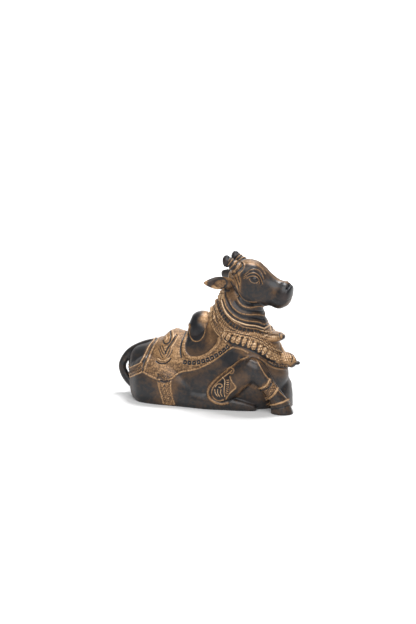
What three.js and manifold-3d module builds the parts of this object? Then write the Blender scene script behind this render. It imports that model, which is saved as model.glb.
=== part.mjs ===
// A reclining Nandi, the bull of South Indian temples, cast in one piece of brass.
// +X is the way the bull looks, +Y its left side, +Z up. Its flat underside lies at z = 0. Millimetres.
import * as THREE from "three";
import { LoftGeometry } from "three/addons/geometries/LoftGeometry.js";
import { mergeVertices } from "three/addons/utils/BufferGeometryUtils.js";
import Module from "manifold-3d";

const wasm = await Module();
wasm.setup();

// The figure's length from tail to chest bell. Its pose below is written for a bull 224 long.
const LENGTH = 224;
const POSE_LENGTH = 224;
const SCALE = LENGTH / POSE_LENGTH;

// A section of a body: its highest and lowest point in the middle plane, its half width, where between
// them it is widest (0 lowest, 1 highest) and how square it is (2 is an ellipse). Its sides hang lower by
// sag, and sway lowers the upper quarter of each side and lifts the lower one.
function section(topX, topZ, bottomX, bottomZ, halfWidth, widest = 0.5, power = 2, sag = 0, sway = 0) {
  const top = new THREE.Vector3(topX, 0, topZ).multiplyScalar(SCALE);
  const bottom = new THREE.Vector3(bottomX, 0, bottomZ).multiplyScalar(SCALE);
  const centre = bottom.clone().lerp(top, widest);
  return {
    centre,
    up: top.sub(centre),
    down: bottom.sub(centre),
    side: new THREE.Vector3(0, -halfWidth * SCALE, 0),
    power,
    sag: sag * SCALE,
    sway: sway * SCALE,
  };
}

// The stations of a limb, each [x, y, z, half width, half height]. Its sections stand square to the line
// through their centres, with their height towards upward.
function limb(stations, upward, power = 2) {
  const centres = stations.map(([x, y, z]) => new THREE.Vector3(x, y, z).multiplyScalar(SCALE));
  return stations.map(([, , , halfWidth, halfHeight], i) => {
    const before = centres[Math.max(i - 1, 0)];
    const after = centres[Math.min(i + 1, centres.length - 1)];
    const along = after.clone().sub(before).normalize();
    const side = along.clone().cross(upward).normalize();
    const up = side.clone().cross(along);
    return {
      centre: centres[i],
      up: up.clone().multiplyScalar(halfHeight * SCALE),
      down: up.clone().multiplyScalar(-halfHeight * SCALE),
      side: side.multiplyScalar(halfWidth * SCALE),
      power,
      sag: 0,
      sway: 0,
    };
  });
}

function catmullRom(a, b, c, d, t) {
  const t2 = t * t;
  const t3 = t2 * t;
  return 0.5 * (2 * b + (c - a) * t + (2 * a - 5 * b + 4 * c - d) * t2 + (3 * b - a - 3 * c + d) * t3);
}

// The section at a place along the stations, counted in stations, smoothly between them.
function sectionAt(stations, place) {
  const last = stations.length - 1;
  const i = Math.min(Math.max(Math.floor(place), 0), last - 1);
  const four = [i - 1, i, i + 1, i + 2].map((k) => stations[Math.min(Math.max(k, 0), last)]);
  const f = Math.min(Math.max(place - i, 0), 1);
  const number = (key) => catmullRom(...four.map((s) => s[key]), f);
  const vector = (key) =>
    new THREE.Vector3(...["x", "y", "z"].map((axis) => catmullRom(...four.map((s) => s[key][axis]), f)));
  return {
    centre: vector("centre"),
    up: vector("up"),
    down: vector("down"),
    side: vector("side"),
    power: number("power"),
    sag: number("sag"),
    sway: number("sway"),
  };
}

// A point of a section, at an angle from its top towards the bull's right. swell moves it outwards, and
// front does so at the section's bottom only, fading up its sides.
const FRONT_FADE = 6;
function sectionPoint(s, angle, swell = 0, front = 0) {
  const curved = (v) => Math.sign(v) * Math.pow(Math.abs(v), 2 / s.power);
  const rise = curved(Math.cos(angle));
  const reach = curved(Math.sin(angle));
  const out = s.side
    .clone()
    .multiplyScalar(reach)
    .addScaledVector(rise > 0 ? s.up : s.down, Math.abs(rise));
  const forward = Math.max(0, -Math.cos(angle)) ** FRONT_FADE;
  out.addScaledVector(out.clone().normalize(), swell + front * forward);
  out.z -= Math.sin(angle) ** 2 * (s.sag + s.sway * Math.cos(angle));
  return out.add(s.centre);
}

// The shares of a section's size, and of the end's depth, at which a rounded end is cut.
const DOME = [0.9, 0.55].map((size) => ({ size, depth: Math.sqrt(1 - size * size) }));
// The part of a station from an end within which the loft's direction there is taken.
const END_STEP = 0.1;

// A closed solid through the stations. rings is their number, or a list of [place, swell, front] with the
// places counted in stations. round gives the depth of the two rounded ends.
function loft(stations, rings, sides, { round = [0, 0] } = {}) {
  const last = stations.length - 1;
  const even = (count) => Array.from({ length: count + 1 }, (_, i) => [(i * last) / count]);
  const list = Array.isArray(rings) ? rings : even(rings);
  const ring = (s, { swell = 0, front = 0, size = 1, shift = new THREE.Vector3() }) =>
    Array.from({ length: sides }, (_, k) =>
      sectionPoint(s, (2 * Math.PI * k) / sides, swell * SCALE, front * SCALE)
        .sub(s.centre)
        .multiplyScalar(size)
        .add(s.centre)
        .add(shift),
    );
  const rows = list.map(([place, swell, front]) => ring(sectionAt(stations, place), { swell, front }));
  const capped = (end, inner, depth) => {
    const s = sectionAt(stations, end);
    const outward = s.centre.clone().sub(sectionAt(stations, inner).centre).setLength(depth * SCALE);
    return DOME.map((d) => ring(s, { size: d.size, shift: outward.clone().multiplyScalar(d.depth) }));
  };
  if (round[0]) rows.unshift(...capped(0, END_STEP, round[0]).reverse());
  if (round[1]) rows.push(...capped(last, last - END_STEP, round[1]));
  return solid(new LoftGeometry(rows, { capStart: true, capEnd: true }));
}

// Rings across a raised ridge, and across a raised band that is rounded over the chest.
const ridgeRings = (place, halfWidth, height) => [
  [place - halfWidth],
  [place, height],
  [place + halfWidth],
];
const BAND_EDGE = 0.8;
const BAND_FRONT = { lower: 0.5, upper: 0.7 };
const bandRings = (place, halfWidth, height, front) => [
  [place - halfWidth],
  [place - BAND_EDGE * halfWidth, height, BAND_FRONT.lower * front],
  [place, height, front],
  [place + BAND_EDGE * halfWidth, height, BAND_FRONT.upper * front],
  [place + halfWidth],
];

// A closed surface as a solid that can be joined and cut.
const WELD = 1e-4;
function solid(geometry) {
  const bare = new THREE.BufferGeometry();
  bare.setAttribute("position", geometry.getAttribute("position"));
  bare.setIndex(geometry.index);
  const merged = mergeVertices(bare, WELD);
  return new wasm.Manifold(
    new wasm.Mesh({
      numProp: 3,
      vertProperties: merged.attributes.position.array,
      triVerts: new Uint32Array(merged.index.array),
    }),
  );
}

// A ball stretched to its three radii about a centre.
function ball([x, y, z], [radiusX, radiusY, radiusZ], across, high) {
  const geometry = new THREE.SphereGeometry(SCALE, across, high).rotateX(Math.PI / 2);
  return solid(geometry.scale(radiusX, radiusY, radiusZ).translate(x * SCALE, y * SCALE, z * SCALE));
}

const FORWARD = new THREE.Vector3(1, 0, 0);
const UP = new THREE.Vector3(0, 0, 1);

// The trunk's long axis lies at this height.
const TRUNK_AXIS = 40;

// The trunk, from the rump through the chest and up the neck into the head. From the garland up, its
// sections lie as the ornaments and the folds of skin do.
const TRUNK = [
  section(-98.6, 46, -95.6, 14, 8, 0.5, 2.2),
  section(-90, 58, -88, -3, 23, 0.4, 2.3),
  section(-72, 65.6, -72, -4, 33, 0.35, 2.2),
  section(-56, 72.5, -56, -4, 37, 0.3, 2.2),
  section(-44, 81.4, -43, -4, 39, 0.28, 2.1),
  section(-24, 79.8, -22, -4, 40, 0.28, 2.1),
  section(-6, 86, 10, -4, 40, 0.3, 2.1),
  section(1, 95, 46, -4, 38, 0.34, 2.1),
  section(2.5, 100, 78, -4, 37, 0.4, 2.1, 0, 6),
  section(3, 102, 95.5, 32, 35, 0.45, 2.1, 0, 12),
  section(4, 105.3, 90, 57, 32.5, 0.5, 1.8, 0, 14),
  section(3.6, 110.6, 87, 66.5, 30.5, 0.5, 1.8, 0, 12),
  section(7.5, 116, 85, 73, 29.5, 0.5, 1.8, 2, 9),
  section(10.3, 120, 80, 82, 28.5, 0.5, 1.85, 4.5, 7),
  section(12, 125, 74, 90, 27, 0.5, 1.9, 6, 5),
  section(13.2, 129, 70.8, 96.5, 25.5, 0.5, 1.9, 7, 3),
  section(16, 133.5, 68.8, 102, 24, 0.5, 1.9, 8, 1),
  section(20.5, 138.5, 66.8, 108, 22, 0.5, 1.95, 8, 0),
  section(30, 142, 64.8, 117, 19, 0.5, 2.1, 5, 0),
];
// The stations that the garland, its rope, the necklace and the folds of skin lie on.
const GARLAND = 10;
const ROPE = 11;
const NECKLACE = 13;
const FOLDS = [14, 15, 16, 17];

// The garland and the necklace are bands this high, and swell this far over the chest.
const GARLAND_SWELL = [2, 5];
const NECKLACE_SWELL = [1.4, 4];

const ROPE_HEIGHT = 2.6;
const FOLD_HEIGHT = 1.6;

// Half widths counted in stations.
const BAND_HALF = 0.42;
const ROPE_HALF = 0.3;
const FOLD_HALF = 0.34;

const BACK_RINGS = 13;
const TRUNK_RINGS = [
  ...Array.from({ length: BACK_RINGS }, (_, i) => [(i / BACK_RINGS) * (GARLAND - BAND_HALF)]),
  ...bandRings(GARLAND, BAND_HALF, ...GARLAND_SWELL),
  ...ridgeRings(ROPE, ROPE_HALF, ROPE_HEIGHT),
  ...bandRings(NECKLACE, BAND_HALF, ...NECKLACE_SWELL),
  ...FOLDS.flatMap((place) => ridgeRings(place, FOLD_HALF, FOLD_HEIGHT)),
  [TRUNK.length - 1],
];

const HUMP = limb(
  [
    [-6, 0, 66, 16, 15.8],
    [-7.5, 0, 80, 17, 16],
    [-7.8, 0, 90, 16.5, 15],
    [-6.8, 0, 96, 14.5, 13.6],
  ],
  FORWARD,
  2.2,
);

// The lower chest, which reaches down to the ground between the forelegs.
const BREAST = limb(
  [
    [77, 4, 47, 14, 12],
    [82, 5, 31, 16, 13],
    [85.5, 5, 17, 18.5, 13.5],
    [86, 5, 5, 19, 13.5],
    [86, 5, -5, 19, 13.5],
  ],
  FORWARD,
  2.3,
);

// The head, from the back of the skull to the muzzle.
const HEAD = [
  section(28, 157, 35, 131, 12),
  section(36, 166, 42, 121, 17, 0.55, 2.3),
  section(47, 170.3, 51, 116.5, 19.5, 0.55, 2.4),
  section(58.5, 168, 61, 116, 19, 0.58, 2.4),
  section(67, 162.2, 69, 117, 15.5, 0.58, 2.3),
  section(77, 154, 75, 118, 12.5, 0.55, 2.2),
  section(86, 148.4, 81, 116, 12, 0.5, 2.3),
  section(94, 146.8, 87.5, 115.6, 13, 0.5, 2.4),
  section(98.9, 143.8, 93.8, 118.6, 12, 0.5, 2.4),
];

// Both sides of the bull share these: side is -1 for its right, towards -Y, and +1 for its left.
const SIDES = [-1, 1];
const haunch = (side) =>
  limb(
    [
      [-80.5, side * 16, 22, 15, 26],
      [-68, side * 21, 22, 20, 33],
      [-50, side * 24, 20, 20, 34],
      [-30, side * 27, 17, 17, 28],
      [-12, side * 30, 13, 13, 20],
    ],
    UP,
    2.3,
  );

const hindFoot = (side) =>
  limb(
    [
      [-20, side * 32, 10, 11, 13],
      [10, side * 35, 8, 9, 10],
      [32, side * 33, 8, 8.5, 8.5],
      [50, side * 29, 6, 8.5, 7],
      [63, side * 25, 3, 7, 5],
    ],
    UP,
    2.4,
  );

// The right foreleg, knee raised: elbow to knee, then knee to hoof.
const FOREARM = limb(
  [
    [28, -32, 21, 13, 15],
    [40, -35, 31, 13, 14.5],
    [53, -37, 43, 12.5, 14],
    [63, -37, 51, 12, 13.5],
  ],
  UP,
  2.2,
);
const CANNON = limb(
  [
    [61, -37, 56, 11, 10],
    [69, -37, 50, 11, 12],
    [78, -35, 40, 9.5, 10.5],
    [85.5, -33, 30, 8, 8.5],
    [92, -30, 20, 8, 8.5],
    [96, -27, 9, 10, 11],
    [98, -26, -3, 11.5, 13.5],
  ],
  FORWARD,
  2.2,
);

// The left foreleg, folded under the chest: elbow to knee, then back to the hoof.
const FOLDED_ARM = limb(
  [
    [30, 35, 21, 12, 16],
    [48, 34, 24, 13, 17],
    [66, 25, 21, 17, 18],
    [80.5, 15, 14.5, 19, 17.5],
  ],
  UP,
  2.2,
);
const FOLDED_FOOT = limb(
  [
    [88, 18, 8, 9.5, 10],
    [76, 2, 8, 8, 9],
    [68, -12, 7, 8.5, 8],
  ],
  UP,
  2.2,
);

// The tail curls down behind the rump and back under it, with a slot between them.
const BEHIND = new THREE.Vector3(-1, 0, 0.1);
const TAIL = limb(
  [
    [-62, 0, 66, 5, 4],
    [-78, 0, 61, 5, 4.8],
    [-94, 0, 52.5, 5, 5.5],
    [-103.5, 0, 44, 4.8, 5],
    [-109, 0, 33.5, 4.4, 4.5],
    [-107, 0, 24.3, 4.6, 4.8],
    [-102.2, 0, 17, 5, 4.8],
    [-95.5, 0, 11, 5.5, 5],
    [-86, 0, 5, 6, 5],
  ],
  BEHIND,
);

const horn = (side) =>
  limb(
    [
      [43, side * 11, 156, 8.5, 8.5],
      [36.5, side * 13.5, 163.5, 7, 7],
      [30.5, side * 15, 168.5, 5, 5],
      [28.5, side * 15.2, 170, 4.8, 4.8],
    ],
    UP,
  );
const hornTip = (side) => [[27.2, side * 15.2, 169.2], [5.2, 5.2, 7.3]];

// The left ear reaches further back than the right one, and its tip is blunter.
const RIGHT_EAR = limb(
  [
    [36, -14, 144, 3, 4],
    [29, -20, 145, 3, 6.6],
    [20, -27, 145.6, 2.8, 7.6],
    [13, -32.5, 146.1, 2.4, 5],
    [8, -36, 146.5, 1.3, 1.9],
  ],
  UP,
);
const LEFT_EAR = limb(
  [
    [36, 14, 144, 3, 4],
    [28, 20, 145, 3, 6.6],
    [18, 27, 145.1, 2.8, 7],
    [10, 32.5, 145, 2.8, 5.6],
    [5, 35.4, 144.6, 2.6, 4.2],
  ],
  UP,
);

// The rings of the right foreleg's lower part, with the anklet and the ridge over the hoof.
const ANKLET_HEIGHT = 1.6;
const CANNON_RINGS = [
  [0],
  [1],
  [1.9],
  [2.25],
  [2.35, ANKLET_HEIGHT],
  [3.15, ANKLET_HEIGHT],
  [3.25],
  [3.6],
  ...ridgeRings(4.4, 0.3, ANKLET_HEIGHT),
  [5.2],
  [6],
];

// The rings of a horn, raised round its root.
const HORN_RIDGE = 0.8;
const HORN_RINGS = [[0], [0.45], [0.6, HORN_RIDGE], [0.8], [1, HORN_RIDGE], [1.2], [2], [3]];

const bodyForms = [
  loft(TRUNK, TRUNK_RINGS, 20, { round: [3, 0] }),
  loft(HUMP, 4, 12, { round: [0, 10] }),
  loft(BREAST, 4, 12),
  loft(HEAD, 11, 16, { round: [6, 4] }),
  loft(FOREARM, 4, 10, { round: [12, 8] }),
  loft(CANNON, CANNON_RINGS, 10, { round: [4, 0] }),
  loft(FOLDED_ARM, 4, 10, { round: [11, 5] }),
  loft(FOLDED_FOOT, 3, 8, { round: [7, 5] }),
  loft(TAIL, 11, 7, { round: [2, 2] }),
  loft(RIGHT_EAR, 5, 6, { round: [0, 1] }),
  loft(LEFT_EAR, 5, 6, { round: [0, 2] }),
];
for (const side of SIDES) {
  bodyForms.push(
    loft(haunch(side), 5, 12, { round: [8, 12] }),
    loft(hindFoot(side), 5, 8, { round: [6, 5] }),
    loft(horn(side), HORN_RINGS, 8),
    ball(...hornTip(side), 7, 5),
  );
}

// The trunk's lowest point in front at a place along it, over a band's swell.
const frontOf = (place, [swell, front]) =>
  sectionPoint(sectionAt(TRUNK, place), Math.PI, swell * SCALE, front * SCALE).divideScalar(SCALE);
// Balls set there: each has its place from that point and its three radii.
const setInFront = (point, [[x, y, z], radii], across, high) =>
  ball([point.x + x, point.y + y, point.z + z], radii, across, high);

// The lips that the necklace and the garland form over the chest, and the garland's great bell and clapper.
const NECKLACE_LIP = [[-8.4, 0, 2.7], [16, 16, 5.5]];
const GARLAND_LIP = [[-3.6, 0, 2.4], [13, 11, 9]];
const GREAT_BELL = [[5, 0, 0.5], [5.5, 7.5, 6.5]];
const CLAPPER = [[10, 0, -0.1], [5, 2.6, 2.6]];
const necklaceFront = frontOf(NECKLACE, NECKLACE_SWELL);
const garlandFront = frontOf(GARLAND, GARLAND_SWELL);
bodyForms.push(
  setInFront(necklaceFront, NECKLACE_LIP, 12, 5),
  setInFront(garlandFront, GARLAND_LIP, 10, 6),
  setInFront(garlandFront, GREAT_BELL, 8, 6),
  setInFront(garlandFront, CLAPPER, 7, 5),
);
const joined = (forms) => forms.reduce((whole, form) => whole.add(form));

function meshOf(manifold, name, material) {
  const made = manifold.getMesh();
  const geometry = new THREE.BufferGeometry();
  geometry.setAttribute("position", new THREE.BufferAttribute(made.vertProperties, made.numProp));
  geometry.setIndex(new THREE.BufferAttribute(made.triVerts, 1));
  geometry.computeVertexNormals();
  const mesh = new THREE.Mesh(geometry, material);
  mesh.name = name;
  return mesh;
}

const darkBrass = new THREE.MeshStandardMaterial({ color: 0x453c33, roughness: 0.45, metalness: 0.7 });

// Places on the body's skin, found along straight lines from outside.
const body = joined(bodyForms);
const skin = meshOf(body, "skin", darkBrass);
const caster = new THREE.Raycaster();
const OUTSIDE = 300 * SCALE;

function placeOnSkin(outside, target) {
  caster.set(outside, target.clone().sub(outside).normalize());
  const [hit] = caster.intersectObject(skin);
  return { point: hit.point, normal: hit.face.normal.clone() };
}

// Facets turn the normals in jumps, so each takes in its neighbours'.
function softened(path) {
  const at = (i) => path[Math.min(Math.max(i, 0), path.length - 1)];
  return path.map(({ point }, i) => {
    const normal = new THREE.Vector3();
    for (const k of [-1, 0, 1]) normal.add(at(i + k).normal);
    return { point, normal: normal.normalize() };
  });
}

// A path on one side of the body through points [x, z] of the side view.
function sidePath(points, side, steps) {
  const targets = points.map(([x, z]) => new THREE.Vector3(x, 0, z).multiplyScalar(SCALE));
  const path = new THREE.CatmullRomCurve3(targets).getSpacedPoints(steps).map((target) => {
    const outside = target.clone().setY(side * OUTSIDE);
    return placeOnSkin(outside, target);
  });
  return softened(path);
}

// A path over the back through points [x, degrees], turned from straight up towards the bull's right about
// the trunk's long axis. The points run from one side to the crest and are mirrored beyond it.
function overPath(half, steps) {
  const mirrored = half.slice(0, -1).reverse().map(([x, turn]) => [x, -turn]);
  const turns = [...half, ...mirrored].map(([x, turn]) => new THREE.Vector3(x, turn, 0));
  const path = new THREE.CatmullRomCurve3(turns).getPoints(steps).map(({ x, y: degrees }) => {
    const turn = THREE.MathUtils.degToRad(degrees);
    const axis = new THREE.Vector3(x, 0, TRUNK_AXIS).multiplyScalar(SCALE);
    const outside = new THREE.Vector3(0, -Math.sin(turn), Math.cos(turn)).multiplyScalar(OUTSIDE).add(axis);
    return placeOnSkin(outside, axis);
  });
  return softened(path);
}

// A path round the trunk at a place along it, between two angles from its top, over a band's swell.
const DIFFERENCE = 0.01;
function ringPath(place, [swell, front], from, to, steps) {
  const at = (t, angle) => sectionPoint(sectionAt(TRUNK, t), angle, swell * SCALE, front * SCALE);
  return Array.from({ length: steps + 1 }, (_, i) => {
    const angle = from + ((to - from) * i) / steps;
    const point = at(place, angle);
    const round = at(place, angle + DIFFERENCE).sub(point);
    const onward = at(place + DIFFERENCE, angle).sub(point);
    return { point, normal: round.cross(onward).normalize() };
  });
}

// The places along a path at an even pitch.
function spaced(path, pitch) {
  const places = [];
  let next = pitch / 2;
  let travelled = 0;
  for (let i = 1; i < path.length; i++) {
    const length = path[i].point.distanceTo(path[i - 1].point);
    while (travelled + length >= next) {
      const f = (next - travelled) / length;
      places.push({
        point: path[i - 1].point.clone().lerp(path[i].point, f),
        normal: path[i - 1].normal.clone().lerp(path[i].normal, f).normalize(),
        along: path[i].point.clone().sub(path[i - 1].point).normalize(),
      });
      next += pitch;
    }
    travelled += length;
  }
  return places;
}

// A strip along a path. Its profile lists [across, out] corners, clockwise as seen along the path.
function strip(path, profile) {
  const at = (i) => path[Math.min(Math.max(i, 0), path.length - 1)].point;
  const rows = path.map(({ point, normal }, i) => {
    const along = at(i + 1).clone().sub(at(i - 1)).normalize();
    const across = along.clone().cross(normal).normalize();
    const out = across.clone().cross(along);
    return profile.map(([a, h]) =>
      point.clone().addScaledVector(across, a * SCALE).addScaledVector(out, h * SCALE),
    );
  });
  return solid(new LoftGeometry(rows, { capStart: true, capEnd: true }));
}

// A raised ridge along a path, its foot sunk into the skin.
const SINK = 1.4;
const ridge = (path, halfWidth, height) =>
  strip(path, [
    [-halfWidth, -SINK],
    [0, height],
    [halfWidth, -SINK],
  ]);

// What is cut away for a groove along a path.
const GROOVE_ABOVE = 1.5;
const groove = (path, halfWidth, depth) =>
  strip(path, [
    [-halfWidth, GROOVE_ABOVE],
    [halfWidth, GROOVE_ABOVE],
    [0, -depth],
  ]);

// A small form set on a path: its x runs along the path, its z out of the skin.
function setOn(geometry, { point, normal, along }, lift) {
  const across = normal.clone().cross(along).normalize();
  const out = along.clone().cross(across);
  const frame = new THREE.Matrix4().makeBasis(along, across, out);
  frame.setPosition(point.clone().addScaledVector(out, lift * SCALE));
  return solid(geometry.clone().scale(SCALE, SCALE, SCALE).applyMatrix4(frame));
}

const carving = [];

// The necklace's square beads and the garland's bells, on both sides of the neck.
const BEAD_REACH = 3.2;
const BEAD_PITCH = 8;
const BELL_SIZE = [5, 10.5, 6];
const BELL_PITCH = 7.4;
const BELL_SINK = 0.6;
const BEAD = new THREE.OctahedronGeometry(BEAD_REACH).rotateZ(Math.PI / 4);
const SMALL_BELL = new THREE.BoxGeometry(...BELL_SIZE);
// The rows run between these angles from the top of the neck.
const ROW_START = 0.5;
const ROW_END = 2.35;
const ROW_STEPS = 24;
for (const side of SIDES) {
  const row = (place, swell, pitch) =>
    spaced(ringPath(place, swell, side * ROW_START, side * ROW_END, ROW_STEPS), pitch * SCALE);
  carving.push(
    ...row(NECKLACE, NECKLACE_SWELL, BEAD_PITCH).map((place) => setOn(BEAD, place, 0)),
    ...row(GARLAND, GARLAND_SWELL, BELL_PITCH).map((place) => setOn(SMALL_BELL, place, -BELL_SINK)),
  );
}

// The saddle cloth's borders. The front one and the one at the rump go over the back.
const FRONT_BORDER = [
  [27, 30],
  [24, 40],
  [17, 49],
  [8, 57.5],
  [-3, 62],
  [-14, 58.5],
  [-21, 49],
  [-22.5, 35],
  [-21.5, 18],
  [-21, 0],
];
const RUMP_BORDER = [
  [-71, 88],
  [-66, 70],
  [-64.5, 50],
  [-62.5, 25],
  [-61, 0],
];
const LOW_BORDER = [
  [44, 75],
  [35, 70],
  [26, 61],
  [14, 54],
  [3, 47],
  [-16, 44],
  [-27, 39],
  [-36, 32.5],
  [-50, 32],
  [-61, 34],
  [-70, 38],
];
const BORDER_HALF = 2.2;
const BORDER_HEIGHT = 1.9;
carving.push(
  ridge(overPath(FRONT_BORDER, 20), BORDER_HALF, BORDER_HEIGHT),
  ridge(overPath(RUMP_BORDER, 12), BORDER_HALF, BORDER_HEIGHT),
);
for (const side of SIDES) carving.push(ridge(sidePath(LOW_BORDER, side, 12), BORDER_HALF, BORDER_HEIGHT));

// The crupper, from the cloth back under the tail.
const CRUPPER = [
  [[-70, 47], [-80, 42.5], [-88, 39]],
  [[-70, 37.5], [-80, 32], [-89, 29]],
];
// The strap that widens from the rosette on the haunch to the ground.
const STRAP = [
  [[-46, 29], [-43, 16], [-40, 3]],
  [[-32, 29], [-30.5, 16], [-27, 3]],
];
const LINE_HALF = 1.8;
const LINE_HEIGHT = 1.7;
const ROSETTE_RADIUS = 5.3;
const ROSETTE_DEPTH = 4.4;
const ROSETTE_LIFT = 1;
const ROSETTE_LINE = [[-44, 35.5], [-33, 35.5]];
const ROSETTE = new THREE.CylinderGeometry(ROSETTE_RADIUS, ROSETTE_RADIUS, ROSETTE_DEPTH, 8);
ROSETTE.rotateX(Math.PI / 2);
for (const side of SIDES) {
  for (const line of [...CRUPPER, ...STRAP]) {
    carving.push(ridge(sidePath(line, side, 3), LINE_HALF, LINE_HEIGHT));
  }
  const [place] = spaced(sidePath(ROSETTE_LINE, side, 2), 2 * ROSETTE_RADIUS * SCALE);
  carving.push(setOn(ROSETTE, place, ROSETTE_LIFT));
}

// The leaf carved round each elbow.
const LEAF = [
  [47, 59],
  [33, 51],
  [21, 41],
  [14.5, 31],
  [13.5, 23],
  [16, 15],
  [22, 10],
  [28, 9],
  [34, 12],
  [40, 19],
  [44, 27],
];
for (const side of SIDES) carving.push(ridge(sidePath(LEAF, side, 11), LINE_HALF, LINE_HEIGHT));

// The eyes under their brows, and what is cut away for the mouth, the nostrils and the hollows of the ears.
const BROW = [
  [50, 158],
  [56, 161.5],
  [63, 160],
  [69, 153.5],
];
const MOUTH = [
  [98, 128],
  [91, 126],
  [84, 126.5],
  [77, 129],
];
const BROW_HALF = 1.6;
const BROW_HEIGHT = 1.4;
const MOUTH_HALF = 2;
const MOUTH_DEPTH = 1.2;
const eye = (side) => [[60.5, side * 16, 151], [6, 4.6, 4.2]];
const nostril = (side) => [[98, side * 8, 140], [3, 3, 2.4]];
const earHollow = (side) => [[25.4, side * 29.8, 146], [4.5, 4.5, 5]];
const cuts = [];
for (const side of SIDES) {
  carving.push(ball(...eye(side), 8, 6), ridge(sidePath(BROW, side, 6), BROW_HALF, BROW_HEIGHT));
  cuts.push(
    groove(sidePath(MOUTH, side, 5), MOUTH_HALF, MOUTH_DEPTH),
    ball(...nostril(side), 6, 4),
    ball(...earHollow(side), 8, 6),
  );
}

// What reaches below the ground is cut away, which leaves the flat underside.
const GROUND_BLOCK = 2 * LENGTH;
const ground = solid(
  new THREE.BoxGeometry(GROUND_BLOCK, GROUND_BLOCK, GROUND_BLOCK).translate(0, 0, -GROUND_BLOCK / 2),
);
const bull = [...cuts, ground].reduce((whole, form) => whole.subtract(form), joined([body, ...carving]));

const nandi = new THREE.Group();
nandi.add(meshOf(bull, "nandi_bull", darkBrass));

export default nandi;
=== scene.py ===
"""The looks of a reclining Nandi, the temple bull, cast in dark brass and rubbed back to tan in its carving.

Places on the bull are in millimetres in the frame's own axes, or in pixels of the photograph where a comment
says so.
"""
import math

import bmesh
import bpy
import numpy as np
from mathutils import Matrix, Vector
from mathutils.bvhtree import BVHTree


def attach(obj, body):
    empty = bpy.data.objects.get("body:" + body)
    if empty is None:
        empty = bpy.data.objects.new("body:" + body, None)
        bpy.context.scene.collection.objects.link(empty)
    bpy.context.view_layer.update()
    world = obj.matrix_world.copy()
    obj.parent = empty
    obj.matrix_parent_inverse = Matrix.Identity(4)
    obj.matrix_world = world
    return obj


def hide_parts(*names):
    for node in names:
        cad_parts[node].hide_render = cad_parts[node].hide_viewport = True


bl_info = {
    "name": "Cast Nandi",
    "version": (1, 0, 0),
    "blender": (4, 5, 0),
    "location": "View3D > Sidebar > Nandi",
    "description": "Builds the cast brass bull and the stage that it stands on",
    "category": "Add Mesh",
}

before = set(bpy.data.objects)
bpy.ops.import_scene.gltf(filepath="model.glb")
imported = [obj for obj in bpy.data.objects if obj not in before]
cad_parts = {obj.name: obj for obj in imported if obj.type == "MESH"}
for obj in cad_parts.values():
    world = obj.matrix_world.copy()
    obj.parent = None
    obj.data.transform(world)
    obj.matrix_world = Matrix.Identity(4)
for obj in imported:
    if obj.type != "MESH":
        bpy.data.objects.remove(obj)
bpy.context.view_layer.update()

MM = 0.001
SIDES = (-1, 1)
FORWARD = np.array([1.0, 0.0, 0.0])
UP = np.array([0.0, 0.0, 1.0])
BEHIND = np.array([-1.0, 0.0, 0.1])

# The photograph's frame in pixels, the scale at the bull, and the point, distance and angles in degrees that
# the bull is seen by.
PHOTO_CENTRE = (208.0, 312.0)
PHOTO_HEIGHT = 624
MM_PER_PIXEL = 1.158
TARGET = np.array([-1.0, 0.0, 105.0])
DISTANCE = 2000.0
AZIMUTH = 20.0
ELEVATION = 12.0
SENSOR = 36.0


def towards(azimuth, elevation):
    """The direction from the bull to a place, its azimuth counted from the bull's right side to its front."""
    turn, tilt = math.radians(azimuth), math.radians(elevation)
    return np.array([math.sin(turn) * math.cos(tilt), -math.cos(turn) * math.cos(tilt), math.sin(tilt)])


def camera_axes():
    """The directions from the bull to the camera, to the right in the picture and up in it."""
    turn = math.radians(AZIMUTH)
    back = towards(AZIMUTH, ELEVATION)
    right = np.array([math.cos(turn), math.sin(turn), 0.0])
    return back, right, np.cross(back, right)


def spline(a, b, c, d, t):
    """The smooth curve from b to c at a share t of the way, where a comes before them and d after them."""
    return 0.5 * (2 * b + (c - a) * t + (2 * a - 5 * b + 4 * c - d) * t**2 + (3 * b - a - 3 * c + d) * t**3)


def unit(vectors):
    """The vectors at length 1."""
    length = np.linalg.norm(vectors, axis=-1, keepdims=True)
    return vectors / np.maximum(length, 1e-12)


# Stations of a body: one row holds a section's centre, its reach up, down and to the bull's right, how square
# it is (2 is an ellipse), how far its sides hang and how far they sway.
CENTRE, RISE, FALL, REACH = slice(0, 3), slice(3, 6), slice(6, 9), slice(9, 12)
SQUARE, SAG, SWAY = 12, 13, 14


def section(top_x, top_z, bottom_x, bottom_z, half_width, widest=0.5, square=2.0, sag=0.0, sway=0.0):
    """A section that stands across the middle plane, through its highest and lowest point."""
    top = np.array([top_x, 0.0, top_z])
    bottom = np.array([bottom_x, 0.0, bottom_z])
    centre = bottom + (top - bottom) * widest
    reach = [0.0, -half_width, 0.0]
    return np.concatenate([centre, top - centre, bottom - centre, reach, [square, sag, sway]])


def limb(stations, upward, square=2.0):
    """Sections square to the line through stations of (x, y, z, half width, half height)."""
    centres = np.array([s[:3] for s in stations], float)
    rows = []
    for i, (_, _, _, half_width, half_height) in enumerate(stations):
        along = centres[min(i + 1, len(centres) - 1)] - centres[max(i - 1, 0)]
        along /= np.linalg.norm(along)
        side = np.cross(along, upward)
        side /= np.linalg.norm(side)
        up = np.cross(side, along)
        rows.append(np.concatenate([centres[i], up * half_height, -up * half_height, side * half_width,
                                    [square, 0.0, 0.0]]))
    return np.array(rows)


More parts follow.
